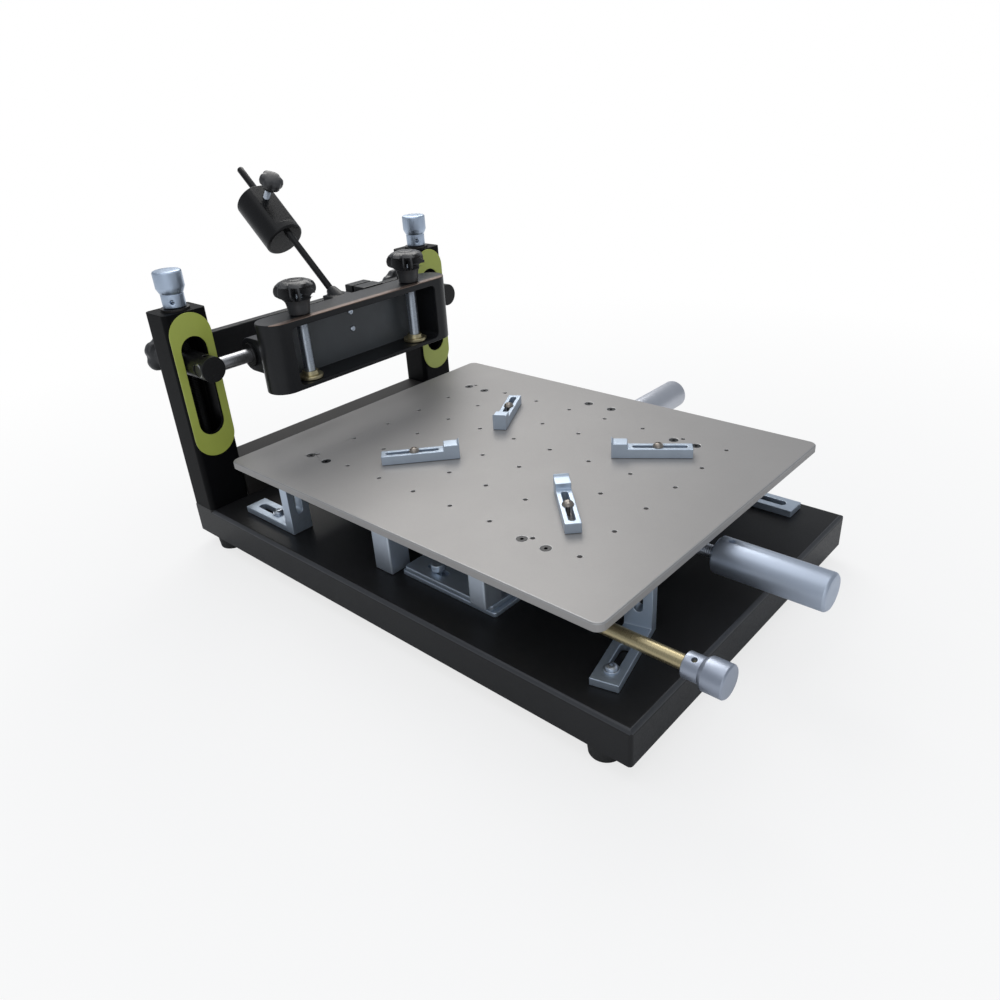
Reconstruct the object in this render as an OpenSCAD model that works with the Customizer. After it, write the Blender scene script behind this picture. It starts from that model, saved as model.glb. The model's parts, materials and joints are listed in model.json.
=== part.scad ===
// Tabletop screen printing press for circuit boards, modelled as separate pieces.
// Lengths are millimetres. The origin is the middle of the base on the bench,
// +X is the operator's right, +Y runs to the uprights at the rear and +Z is up.

/* [Base tray] */
// Width of the base tray, left to right
base_w = 320; // [312:1:340]
// Length of the base tray, front to rear
base_l = 490; // [480:1:520]
// Height of the folded skirt
base_h = 28.5; // [24:0.5:34]
// Thickness of the tray's sheet
base_sheet = 2.5; // [2:0.1:3]
// Outer radius of the bends along the top
base_bend_r = 4; // [3.5:0.1:6]
// Width of the return lip under each long side
base_lip_w = 26; // [22:1:32]
// Height of a rubber foot
foot_h = 13.5; // [10:0.5:16]
// Diameter of a rubber foot
foot_d = 26; // [22:1:28]

/* [Uprights] */
// Width of an upright
upright_w = 40; // [39:0.5:44]
// Depth of an upright, front to rear
upright_d = 32; // [30:0.5:36]
// Height of an upright above the base
upright_h = 182; // [176:1:190]
// Thickness of an upright's folded sheet
upright_sheet = 3; // [2:0.1:3.5]
// Radius of an upright's front bends
upright_bend_r = 4.5; // [4:0.1:6]
// Height of the beam between the uprights
beam_h = 38; // [34:1:44]
// Distance of the slot's upper end below the upright's top
slot_top_in = 22; // [20:1:26]
// Length of the slot in an upright
slot_l = 88; // [86:1:94]
// Thickness of a label plate
label_t = 1; // [0.8:0.1:1.5]
// Width of a label plate
label_w = 38.6; // [36:0.2:38.8]
// Length of a label plate
label_l = 130; // [120:1:132]

/* [Height adjustment] */
// Diameter of the sliding arm that runs in a slot
arm_d = 22; // [20:0.5:23]
// Distance of the hinge shaft below the uprights' tops, at rest
shaft_drop = 46; // [45:0.5:48]
// Distance of the hinge shaft in front of the uprights
shaft_front = 18; // [18:0.5:22]
// Diameter of the hinge shaft
shaft_d = 12; // [10:0.5:13]
// Distance from an upright's front face back to the lead screw
lead_back = 15; // [14:0.5:16]
// Diameter of a lead screw
lead_d = 10; // [8:0.5:10]
// Thickness of the crossbar
bar_t = 10; // [8:0.5:14]
// Height of the crossbar
bar_h = 28; // [24:1:30]
// Diameter of a lift knob's head
lift_head_d = 28; // [25:0.5:32]
// Height of a lift knob's head
lift_head_h = 21; // [16:0.5:26]
// Diameter of a lift knob's neck
lift_neck_d = 22.5; // [19:0.5:24]
// Height of a lift knob's neck with its taper
lift_neck_h = 14; // [12:0.5:18]
// Diameter of a lock knob
lock_d = 36; // [32:1:38]

/* [Frame clamp] */
// Distance of the clamp housing's side from the middle of its upright
clamp_in = 34; // [32:1:36]
// Depth of the clamp housing
clamp_d = 32; // [30:0.5:36]
// Height of the clamp housing
clamp_h = 61; // [56:0.5:66]
// Distance of the housing's underside below the shaft
clamp_drop = 28; // [26:0.5:30]
// Distance from the shaft forward to the housing's rear face
clamp_back = 17; // [16:0.5:20]
// Thickness of the housing beside the mouth that takes the screen frame
clamp_wall = 22; // [20:0.5:24]
// Thickness of the housing's floor
floor_t = 3.5; // [3:0.1:5]
// Thickness of the housing's roof
roof_t = 6; // [5:0.1:8]
// Thickness of the housing's rear web
web_t = 4; // [3:0.1:6]
// Distance of a clamp screw from the mouth's side
screw_in = 20; // [18:0.5:24]
// Diameter of a clamp screw
screw_d = 10; // [8:0.5:10]
// Diameter of a clamp pad
pad_d = 22.5; // [20:0.5:26]
// Diameter of a star knob's head
star_d = 40; // [36:1:44]
// Height of a star knob's head
star_h = 16; // [14:0.5:20]
// Height of a star knob's hub
star_hub_h = 13; // [10:0.5:16]

/* [Balance weight] */
// Diameter of the balance rod
rod_d = 6.5; // [6:0.1:8]
// Length of the balance rod beyond its boot
rod_l = 168; // [160:1:180]
// Slope of the balance rod at rest, in degrees
rod_tilt = 41.5; // [38:0.5:44]
// Diameter of the counterweight
weight_d = 38; // [34:0.5:42]
// Length of the counterweight
weight_l = 55; // [50:0.5:58]
// Distance from the rod's start to the counterweight
weight_at = 84; // [80:1:88]
// Distance from the rod to the counterweight's middle
weight_ecc = 10; // [8:0.5:11]
// Diameter of the weight knob
weight_knob_d = 22; // [18:0.5:24]

/* [Table] */
// Distance of the table's side edges inside the base's sides
table_in = 6.5; // [5:0.5:9]
// Distance of the table's front edge behind the base's front
table_front_in = 27; // [24:1:32]
// Distance of the table's rear edge in front of the uprights
table_gap = 43; // [40:1:46]
// Thickness of the table
table_t = 7; // [6:0.5:9]
// Radius of the table's corners
table_r = 7; // [4:0.5:10]
// Spacing of the tapped holes
hole_pitch = 40; // [38:0.5:42]
// Diameter of a tapped hole
hole_d = 3.5; // [3:0.1:4.5]
// Diameter of a countersunk screw head
head_d = 8.4; // [7.5:0.1:9]

/* [Table slides and turning plate] */
// Width of the turning plates
turn_w = 250; // [246:1:254]
// Length of the fixed lower plate
turn_l = 98; // [96:1:100]
// Thickness of the fixed lower plate
turn_base_t = 4; // [3.5:0.1:5]
// Thickness of the turning plate
turn_t = 4.2; // [3.5:0.1:5]
// Distance of the pivot in front of the table's middle
pivot_ahead = 34; // [33:0.5:36]
// Diameter of the pivot
pivot_d = 20; // [16:0.5:24]
// Height of a dovetail way
way_h = 9.5; // [8.5:0.1:11]
// Distance of a dovetail way from the middle
way_x = 57; // [55:0.5:60]
// Thickness of the carriage plate
carriage_t = 6; // [5:0.1:7]
// Height of the drive screws above the carriage plate
drive_lift = 6; // [5.8:0.1:7]
// Height of the cross rails above the carriage plate
rail_lift = 22.5; // [22:0.1:24]
// Diameter of a cross rail
rail_d = 8; // [6:0.5:8]
// Height of the table's underside above the cross rails
rail_under = 7.2; // [7:0.1:8]
// Diameter of a drive screw
drive_d = 10; // [8:0.5:10]
// Diameter of a drive handle
handle_d = 28; // [24:1:32]
// Length of a drive handle
handle_l = 83; // [70:1:90]

/* [Angle adjustment] */
// Distance of the angle screw from the turning plate's side
angle_in = 3; // [1:0.5:5]
// Height of the angle screw above the base
angle_rise = 33; // [32:0.5:33.5]
// Diameter of the angle screw
angle_d = 10; // [8:0.5:10]
// Diameter of the angle knob's head
angle_head_d = 24; // [20:0.5:26]

/* [Board stops] */
// Length of a stop bar
stop_l = 65; // [58:1:68]
// Width of a stop bar
stop_w = 12; // [11:0.5:16]
// Height of a stop bar
stop_h = 8; // [6:0.5:9]
// Height of a stop's hooked end
hook_h = 16; // [13:0.5:18]

/* [Supports] */
// Width of a support bracket
bracket_w = 20; // [18:0.5:24]
// Length of a bracket's foot
bracket_l = 72; // [66:1:76]
// Thickness of a bracket's foot
bracket_t = 6; // [5:0.1:8]
// Thickness of a bracket's leg
leg_t = 10; // [8:0.5:12]

/* [Hidden] */
$fn = 48;

// Overrun of every cut
over = 1;
// Gap between pieces that move past each other
gap = 0.3;
// Radial play of a running shaft
run = 0.05;
// Radial play of a screw in its nut
nut = 0.15;
// Small chamfer of turned and milled pieces
ch = 1;

// Base tray
base_corner_r = 2.6;
foot_in = 1.5;
foot_front_in = 28;
foot_rear_in = 29;
foot_y = [-(base_l / 2 - foot_front_in), base_l / 2 - foot_rear_in];
foot_core_share = 0.36;
foot_recess = 4;
foot_taper = 1.4;
base_z0 = foot_h;
base_top = foot_h + base_h;

// Uprights
upright_x = base_w / 2 - upright_w / 2;
front_y = base_l / 2 - upright_d;
slot_w = arm_d + 2 * gap;
top_z = base_top + upright_h;
slot_z = top_z - slot_top_in - slot_l / 2;
tab_t = upright_sheet;
beam_lip = 10;
label_rim = 0.8;
label_hole_w = slot_w + 2 * label_rim;
bolt_r = 2.6;

// Height adjustment
lead_y = front_y + lead_back;
shaft_y = front_y - shaft_front;
shaft_z = top_z - shaft_drop;
bar_gap = 0.42;
bar_over = 10;
bar_y = base_l / 2 + bar_gap;
bar_half = upright_x + bar_over;
arm_nose = 15;
arm_ch = 1.6;
flange_t = 2;
flange_out = 7;
flange_d = lead_d + 2 * flange_out;
bush_wall = 3;
low_bush_h = 8;
low_bush_wall = 4;
low_bush_d = lead_d + 2 * low_bush_wall;
collar_h = 5;
collar_out = 3;
collar_d = lead_d + 2 * collar_out;
knob_z = top_z + flange_t + gap;
lift_cone_h = 4;
lift_bore_l = 22;
lead_z0 = base_top + tab_t + gap;
lock_gap = 3;
lock_y = bar_y + bar_t + lock_gap;
lock_hub_d = 20;
lock_l = 15;
lock_hub_share = 1 / 3;
lock_dome_share = 1 / 5;
lock_lobes = 6;
lobe_out_share = 1 / 16;
lobe_cut_share = 1 / 7;
star_cone_share = 1 / 4;

// Frame clamp
clamp_w = 2 * (upright_x - clamp_in);
mouth_w = clamp_w - 2 * clamp_wall;
screw_x = mouth_w / 2 - screw_in;
clamp_rear = shaft_y - clamp_back;
clamp_front = clamp_rear - clamp_d;
clamp_z0 = shaft_z - clamp_drop;
clamp_z1 = clamp_z0 + clamp_h;
floor_z = clamp_z0 + floor_t;
roof_z = clamp_z1 - roof_t;
web_y = clamp_rear - web_t;
mouth_r = 5;
ear_r = 15;
ear_out = 2;
ear_x0 = mouth_w / 2 + ear_out;
ear_t = 12;
bush_t = 2;
bush_od = shaft_d + 2 * bush_t;
bush_rim_t = 2.4;
bush_rim_out = 4.5;
bush_rim_d = shaft_d + 2 * bush_rim_out;
screw_ahead = 18;
screw_y = clamp_rear - screw_ahead;
pad_rim_t = 3;
pad_boss_d = 15;
pad_boss_h = 6.5;
pad_seat_h = 3;
screw_tip_z = floor_z + gap + pad_seat_h;
hub_gap = 0.5;
star_z = clamp_z1 + hub_gap;
star_hub_d = 19;
star_hub_top_d = 24;
star_lobes = 7;
star_bore_l = 18;
brake_x0 = 23;
brake_w = 24;
brake_top = clamp_z1 + ch;
brake_foot = 13;
brake_rear = 12;
brake_slit = 2;

// Balance rod and weight
rod_back = 11;
rod_low = 6;
rod_y0 = clamp_rear + rod_back;
rod_z0 = clamp_z1 - rod_low;
boot_l = 13;
boot_d0 = 17;
boot_d1 = 9.5;
holder_w = 22;
holder_d = 20;
holder_gap = 4;
holder_low = shaft_d / 2 + holder_gap;
rod_root = 9;
flat_r = 6.2;
flat_end = 8;
weight_ch = 1.6;
knob_at = 40;
knob_r0 = 17;
knob_h = 14;
knob_hub_share = 1 / 4;
knob_bore_share = 1 / 2;
weight_screw_d = 6;

// Table stack, from the base upwards
turn_z = base_top + turn_base_t + gap;
way_z = turn_z + turn_t;
plate_z = way_z + way_h + gap;
plate_top = plate_z + carriage_t;
drive_z = plate_top + drive_lift;
rail_z = plate_top + rail_lift;
table_z = rail_z + rail_under;
table_top = table_z + table_t;

// Plan of the table, the turning plates and the ways
table_w = base_w - 2 * table_in;
table_l = base_l - upright_d - table_gap - table_front_in;
table_y = front_y - table_gap - table_l / 2;
table_front_y = table_y - table_l / 2;
table_rear_y = table_y + table_l / 2;
pivot_y = table_y - pivot_ahead;
angle_x = turn_w / 2 - angle_in;

// Turning plates
turn_r = 3;
turn_short = 3;
turn_half = turn_l / 2 - turn_short;
pivot_cap_out = 5;
pivot_cap_d = pivot_d + 2 * pivot_cap_out;
pivot_cap_h = 3.5;
lock_bolt_in = 12;
lock_bolt_x = turn_w / 2 - lock_bolt_in;
lock_bolt_d = 6;
lock_bolt_head_d = 11;
lock_bolt_head_h = 6;
lock_bolt_back = 20;
lock_bolt_y = pivot_y + lock_bolt_back;
lock_sweep_angle = 4;
plate_ch = 0.5;
way_w = 20;
way_foot_w = 12;
block_w = 28;
block_l = 16;
block_head = 10;
block_ch = 1;
lug_w = 18;
lug_head = 6.3;
thrust_out = 4;
thrust_d = drive_d + 2 * thrust_out;
thrust_l = 5.5;

// Carriage
bar_w = 46;
carriage_front = 82;
carriage_rear = 178;
tie_l = 12;
mid_front = 10;
mid_l = 66;
saddle_w = 40;
saddle_l = 60;
saddle_deep = 8.3;
saddle_y = pivot_y;
nut_w = 24;
nut_l = 26;
nut_back = 8;
nut_head = 8;
x_nut_in = 7;
x_nut_x = way_x - x_nut_in;
x_nut_l = 28;
boss_w = 24;
boss_wall = 2.6;
boss_r = rail_d / 2 + boss_wall;
rail_front = 71;
rail_rear = 167;
rail_y = [pivot_y - rail_front, pivot_y + rail_rear];

// Table pieces
block_left_out = 48;
block_right_out = 37;
block_x = [-(way_x + block_left_out), way_x + block_right_out];
tblock_w = 24;
tblock_l = 36;
tblock_wall = 2;
tblock_low = rail_d / 2 + tblock_wall;
tblock_ch = 1.5;
csk_gap = 21;
csk_d = 4.2;
csk_deep = 2.6;
xblock_in = 31.5;
xblock_x = table_w / 2 - xblock_in;
xblock_w = 20;
xblock_l = 40;
xblock_low = 10;
csk_gap_x = 25.5;
x_screw_back = 35;
x_screw_y = pivot_y + x_screw_back;
x_tip_in = 10;
x_tip = x_nut_x - x_tip_in;
hole_rows = 8;
hole_col_shares = [-5 / 2, -3 / 2, -1 / 2, 1 / 2, 3 / 2, 5 / 2];
table_ch = 0.8;

// Drive handles
y_handle_in = 6;
y_handle_y = table_front_y + y_handle_in;
x_handle_out = 21.5;
x_handle_x = table_w / 2 + x_handle_out;
handle_ch = 2.2;
handle_bore_l = 20;
y_tip_back = 32;
y_tip = pivot_y + y_tip_back;

// Angle adjustment
angle_z = base_top + angle_rise;
post_w = 20;
post_l = 20;
post_back = 53;
post_y = pivot_y + post_back;
post_head = 10;
pad_l = 9;
tip_y = post_y - gap;
angle_knob_out = 39;
angle_knob_y = table_front_y - angle_knob_out;
angle_neck_l = 13;
angle_neck_d = 18;
angle_head_l = 18;
angle_bore_l = 20;
angle_cone_l = 2.5;
slotted_w = 1.6;

// Board stops: shares of the pitch from the table's middle, angles towards the hook
stop_rear_share = 3 / 2;
stop_front_share = -5 / 2;
stop_side_share = 3 / 2;
stop_angles = [-43, 208, 45, 124];
stop_screw_at = 5;
stop_slot_w = 5;
stop_slot_in = 4;
hook_l = 13;
hook_ch = 1.5;
stop_head_d = 9;
stop_head_h = 3.2;
stop_shank_d = hole_d - 2 * run;
stop_z = table_top + gap;

// Support brackets
bracket_z = base_top + gap;
foot_slot_w = 7;
foot_slot_l = 32;
foot_slot_in = 9;
leg_slot_w = 6;
leg_slot_l = 24;
leg_slot_low = 18;
bracket_in = 22.5;
bracket_rear_in = 58;
bracket_front_in = 78;
bracket_step = 7.5;
bracket_x = table_w / 2 - bracket_in;
bracket_rear_y = table_rear_y - bracket_rear_in;
bracket_front_y = table_front_y + bracket_front_in;
bracket_left_in = 79.5;
bracket_left_front = 23;
bracket_left_x = -(table_w / 2 - bracket_left_in);
bracket_left_y = table_front_y + bracket_left_front;
bracket_left_angle = 193.4;

// A cylinder along X
module rod_x(r, x0, x1) {
    translate([x0, 0, 0]) rotate([0, 90, 0]) cylinder(r = r, h = x1 - x0);
}

// A cylinder along Y
module rod_y(r, y0, y1) {
    translate([0, y0, 0]) rotate([-90, 0, 0]) cylinder(r = r, h = y1 - y0);
}

// A cylinder along Z
module rod_z(r, z0, z1) {
    translate([0, 0, z0]) cylinder(r = r, h = z1 - z0);
}

// A block between two corners
module block(a, b) {
    translate(a) cube(b - a);
}

// A flat outline with four round corners, centred
module round_rect(w, l, r) {
    square([w - 2 * r, l], center = true);
    square([w, l - 2 * r], center = true);
    for (sx = [-1, 1], sy = [-1, 1])
        translate([sx * (w / 2 - r), sy * (l / 2 - r)]) circle(r = r);
}

// A slot outline along X with full round ends, centred
module slot_2d(l, w) {
    square([l - w, w], center = true);
    for (s = [-1, 1])
        translate([s * (l - w) / 2, 0]) circle(r = w / 2);
}

// A profile that stands on the X axis with its two upper corners rounded
module top_round(w, h, r) {
    translate([-w / 2, 0]) square([w, h - r]);
    translate([-w / 2 + r, 0]) square([w - 2 * r, h]);
    for (s = [-1, 1])
        translate([s * (w / 2 - r), h - r]) circle(r = r);
}

// A turned piece standing on Z, chamfered at both ends
module turned_bar(r, h, c) {
    rotate_extrude() polygon([[0, 0], [r - c, 0], [r, c], [r, h - c], [r - c, h], [0, h]]);
}

// A bar along Z with its four long edges chamfered, centred
module soft_bar(w, d, l, c) {
    linear_extrude(l, center = true)
        polygon([[-w / 2 + c, -d / 2], [w / 2 - c, -d / 2], [w / 2, -d / 2 + c],
            [w / 2, d / 2 - c], [w / 2 - c, d / 2], [-w / 2 + c, d / 2],
            [-w / 2, d / 2 - c], [-w / 2, -d / 2 + c]]);
}

// A block between two corners with every edge chamfered
module soft_block(a, b, c) {
    size = b - a;
    translate((a + b) / 2)
        intersection() {
            soft_bar(size.x, size.y, size.z, c);
            rotate([90, 0, 0]) soft_bar(size.x, size.z, size.y, c);
            rotate([0, 90, 0]) soft_bar(size.z, size.y, size.x, c);
        }
}

// A plate on the XY plane with round corners, chamfered all round above and below
module soft_plate(w, l, t, r, c) {
    translate([0, 0, t / 2]) {
        rotate([90, 0, 0]) soft_bar(w, t, l - 2 * r, c);
        rotate([0, 90, 0]) soft_bar(t, l, w - 2 * r, c);
    }
    for (sx = [-1, 1], sy = [-1, 1])
        translate([sx * (w / 2 - r), sy * (l / 2 - r), 0]) turned_bar(r, t, c);
}

// The tray's outer or inner form, rounded along its top
module tray_form(w, l, h, r, corner) {
    intersection() {
        linear_extrude(h) round_rect(w, l, corner);
        translate([0, l / 2, 0]) rotate([90, 0, 0]) linear_extrude(l) top_round(w, h, r);
        translate([-w / 2, 0, 0]) rotate([90, 0, 90]) linear_extrude(w) top_round(l, h, r);
    }
}

// Base tray: folded sheet, open below, with a return lip under each long side
module base_tray() {
    inner_w = base_w - 2 * base_sheet;
    inner_l = base_l - 2 * base_sheet;
    color("#1d1d1f") {
        difference() {
            translate([0, 0, base_z0])
                tray_form(base_w, base_l, base_h, base_bend_r, base_corner_r);
            translate([0, 0, base_z0 - over])
                tray_form(inner_w, inner_l, base_h - base_sheet + over,
                    base_bend_r - base_sheet, base_corner_r - base_sheet);
        }
        for (s = [-1, 1])
            translate([s * (base_w / 2 - base_lip_w / 2), 0, base_z0 + base_sheet / 2])
                cube([base_lip_w - base_sheet, inner_l + base_sheet, base_sheet], center = true);
        // Backing plates, which also carry the uprights' faces down into the skirt
        for (s = [-1, 1])
            translate([s * upright_x, front_y + upright_d / 2, base_top - base_bend_r])
                linear_extrude(base_bend_r) round_rect(upright_w, upright_d, upright_bend_r);
    }
}

// Four rubber feet, recessed below for their screws
module rubber_feet() {
    color("#141414")
        for (sx = [-1, 1], y = foot_y)
            translate([sx * (base_w / 2 - foot_d / 2 - foot_in), y, 0])
                difference() {
                    rotate_extrude() polygon([[0, 0], [foot_d / 2 - foot_taper, 0],
                        [foot_d / 2, foot_h], [0, foot_h]]);
                    rod_z(foot_d / 2 * foot_core_share, -over, foot_recess);
                }
}

// One upright: a welded box, closed above and below, at the middle of its own width
module upright() {
    inner_w = upright_w - 2 * upright_sheet;
    inner_d = upright_d - 2 * upright_sheet;
    inner_r = upright_bend_r - upright_sheet;
    difference() {
        translate([0, front_y + upright_d / 2, base_top]) linear_extrude(upright_h)
            round_rect(upright_w, upright_d, upright_bend_r);
        translate([0, front_y + upright_d / 2, base_top + tab_t])
            linear_extrude(upright_h - upright_sheet - tab_t)
                round_rect(inner_w, inner_d, inner_r);
        // The slots that the arm slides in, through the front and the rear
        translate([0, front_y + upright_d + over, slot_z]) rotate([90, 0, 0])
            linear_extrude(upright_d + 2 * over) rotate(90) slot_2d(slot_l, slot_w);
        // The bush's seat in the top
        translate([0, lead_y, 0]) rod_z(lead_d / 2 + bush_wall, top_z - upright_sheet - over,
            top_z + over);
        // Two bolt holes in the lower tab
        for (s = [-1, 1])
            translate([s * (upright_w / 2 - 3 * upright_sheet), lead_y, 0])
                rod_z(bolt_r, base_top - over, base_top + tab_t + over);
    }
}

module upright_left() {
    color("#1d1d1f") translate([-upright_x, 0, 0]) upright();
}

module upright_right() {
    color("#1d1d1f") translate([upright_x, 0, 0]) upright();
}

// Beam between the uprights: sheet folded over at the top, open at the rear
module rear_beam() {
    half = upright_x - upright_w / 2;
    mid_y = front_y + upright_d / 2;
    color("#1d1d1f") translate([-half, 0, 0]) rotate([90, 0, 90]) linear_extrude(2 * half)
        difference() {
            translate([mid_y, base_top]) top_round(upright_d, beam_h, upright_bend_r);
            translate([mid_y, base_top - over])
                top_round(upright_d - 2 * upright_sheet, beam_h - upright_sheet + over,
                    upright_bend_r - upright_sheet);
            translate([mid_y, base_top - over]) square([upright_d, beam_h - beam_lip + over]);
        }
}

// Two green plates round the slots
module label_plates() {
    color("#8fa02f")
        for (s = [-1, 1])
            translate([s * upright_x, front_y, 0]) rotate([90, 0, 0]) linear_extrude(label_t)
                difference() {
                    translate([0, slot_z]) rotate(90) slot_2d(label_l, label_w);
                    translate([0, slot_z]) rotate(90)
                        slot_2d(slot_l + 2 * label_rim, label_hole_w);
                }
}

// Flanged top bushes and plain lower bushes of the lead screws
module lift_bushes() {
    color("#b9a36a")
        for (s = [-1, 1])
            translate([s * upright_x, lead_y, 0]) {
                difference() {
                    union() {
                        rod_z(flange_d / 2, top_z, top_z + flange_t);
                        rod_z(lead_d / 2 + bush_wall - run / 2, top_z - upright_sheet, top_z);
                    }
                    rod_z(lead_d / 2 + run, top_z - upright_sheet - over, top_z + flange_t + over);
                }
                difference() {
                    rod_z(low_bush_d / 2, base_top + tab_t, base_top + tab_t + low_bush_h);
                    rod_z(lead_d / 2 + run, base_top + tab_t - over,
                        base_top + tab_t + low_bush_h + over);
                }
            }
}

// One lead screw with the collar that hangs it under the top bush
module lift_screw() {
    translate([0, lead_y, 0]) {
        rod_z(lead_d / 2, lead_z0, knob_z + lift_bore_l - ch);
        rod_z(collar_d / 2, top_z - upright_sheet - gap - collar_h, top_z - upright_sheet - gap);
    }
}

module lift_screw_left() {
    color("#b7b9bb") translate([-upright_x, 0, 0]) lift_screw();
}

module lift_screw_right() {
    color("#b7b9bb") translate([upright_x, 0, 0]) lift_screw();
}

// One lift knob: neck, cone and head, with a bore and a set screw hole
module lift_knob() {
    neck_r = lift_neck_d / 2;
    head_r = lift_head_d / 2;
    cone_z = lift_neck_h - lift_cone_h;
    full = lift_neck_h + lift_head_h;
    translate([0, lead_y, knob_z])
        difference() {
            rotate_extrude() polygon([[0, 0], [neck_r - ch, 0], [neck_r, ch], [neck_r, cone_z],
                [head_r, lift_neck_h], [head_r, full - ch], [head_r - ch, full], [0, full]]);
            rod_z(lead_d / 2 + run, -over, lift_bore_l);
            translate([0, 0, cone_z / 2]) rod_y(bolt_r, -neck_r - over, 0);
        }
}

module lift_knob_left() {
    color("#c9cbcd") translate([-upright_x, 0, 0]) lift_knob();
}

module lift_knob_right() {
    color("#c9cbcd") translate([upright_x, 0, 0]) lift_knob();
}

// Crossbar behind the uprights that joins the two arms
module crossbar() {
    color("#1d1d1f")
        difference() {
            soft_block([-bar_half, bar_y, shaft_z - bar_h / 2],
                [bar_half, bar_y + bar_t, shaft_z + bar_h / 2], ch);
            for (s = [-1, 1])
                translate([s * upright_x, 0, shaft_z])
                    rod_y(bolt_r + run, bar_y - over, bar_y + bar_t + over);
        }
}

// One arm: it slides in the slot, takes the lead screw and holds the shaft
module arm() {
    nose_y = shaft_y - arm_nose;
    translate([0, 0, shaft_z])
        difference() {
            translate([0, nose_y, 0]) rotate([-90, 0, 0])
                rotate_extrude() polygon([[0, 0], [arm_d / 2 - arm_ch, 0], [arm_d / 2, arm_ch],
                    [arm_d / 2, bar_y - nose_y], [0, bar_y - nose_y]]);
            translate([0, shaft_y, 0]) rod_x(shaft_d / 2 + run / 2, -arm_d, arm_d);
            translate([0, lead_y, 0]) rod_z(lead_d / 2 + nut, -arm_d, arm_d);
            rod_y(bolt_r + run, bar_y - arm_nose / 2, bar_y + over);
            // Set screw that pins the shaft
            translate([0, shaft_y, 0]) rod_z(bolt_r, 0, arm_d);
        }
}

module arm_left() {
    color("#232325") translate([-upright_x, 0, 0]) arm();
}

module arm_right() {
    color("#232325") translate([upright_x, 0, 0]) arm();
}

// Hinge shaft through both arms
module hinge_shaft() {
    color("#c4c6c8") translate([0, shaft_y, shaft_z])
        translate([-bar_half, 0, 0]) rotate([0, 90, 0])
            turned_bar(shaft_d / 2, 2 * bar_half, ch);
}

// A knob with lobes, standing on Z, with its hub below the head
module star_form(d, h, hub_d0, hub_d1, hub_h, lobes, dome) {
    dome_r = (d * d / 4 + dome * dome) / (2 * dome);
    difference() {
        union() {
            rotate_extrude()
                intersection() {
                    translate([0, hub_h + h - dome_r]) circle(r = dome_r, $fn = 96);
                    polygon([[0, hub_h], [hub_d1 / 2, hub_h],
                        [d / 2, hub_h + h * star_cone_share], [d / 2, hub_h + h], [0, hub_h + h]]);
                }
            rotate_extrude() polygon([[0, 0], [hub_d0 / 2, 0], [hub_d1 / 2, hub_h],
                [hub_d1 / 2 - ch, hub_h + ch], [0, hub_h + ch]]);
        }
        for (i = [0:lobes - 1])
            rotate(i * 360 / lobes) translate([d / 2 + d * lobe_out_share, 0, 0])
                rod_z(d * lobe_cut_share, hub_h - over, hub_h + h + over);
    }
}

// One lock knob on its stud, behind the crossbar
module lock_knob() {
    translate([0, lock_y, shaft_z]) rotate([-90, 0, 0])
        star_form(lock_d, lock_l * (1 - lock_dome_share), lock_hub_d, lock_hub_d + 2 * ch,
            lock_l * lock_hub_share, lock_lobes, lock_l * lock_dome_share);
    translate([0, 0, shaft_z]) rod_y(bolt_r, bar_y - arm_nose / 4, lock_y + lock_l / 2);
}

module lock_knob_left() {
    color("#1a1a1c") translate([-upright_x, 0, 0]) lock_knob();
}

module lock_knob_right() {
    color("#1a1a1c") translate([upright_x, 0, 0]) lock_knob();
}

// Clamp housing: a moulding with a full round end each side, open to the front
module clamp_housing() {
    mouth_h = roof_z - floor_z;
    color("#1b1b1e")
        difference() {
            union() {
                translate([0, (clamp_front + clamp_rear) / 2, clamp_z0])
                    linear_extrude(clamp_h) slot_2d(clamp_w, clamp_d);
                for (s = [-1, 1])
                    translate([s * (ear_x0 + ear_t / 2), 0, shaft_z]) {
                        translate([0, shaft_y, 0]) rod_x(ear_r, -ear_t / 2, ear_t / 2);
                        block([-ear_t / 2, clamp_rear - clamp_d / 4, -ear_r],
                            [ear_t / 2, shaft_y, ear_r]);
                    }
            }
            // The mouth, with round corners seen from the front
            translate([0, web_y, floor_z + mouth_h / 2]) rotate([90, 0, 0])
                linear_extrude(clamp_d + over) round_rect(mouth_w, mouth_h, mouth_r);
            // Bores for the bushes and the clamp screws
            for (s = [-1, 1]) {
                translate([s * (ear_x0 + ear_t / 2), shaft_y, shaft_z])
                    rod_x(bush_od / 2, -ear_t / 2 - over, ear_t / 2 + over);
                translate([s * screw_x, screw_y, 0])
                    rod_z(screw_d / 2 + nut, roof_z - over, clamp_z1 + over);
            }
        }
}

// Flanged bushes of the hinge
module hinge_bushes() {
    color("#a8aaac")
        for (s = [-1, 1])
            translate([0, shaft_y, shaft_z]) mirror([s < 0 ? 1 : 0, 0, 0])
                difference() {
                    union() {
                        rod_x(bush_od / 2 - run / 2, ear_x0, ear_x0 + ear_t);
                        rod_x(bush_rim_d / 2, ear_x0 + ear_t, ear_x0 + ear_t + bush_rim_t);
                    }
                    rod_x(shaft_d / 2 + run, ear_x0 - over, ear_x0 + ear_t + bush_rim_t + over);
                }
}

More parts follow.
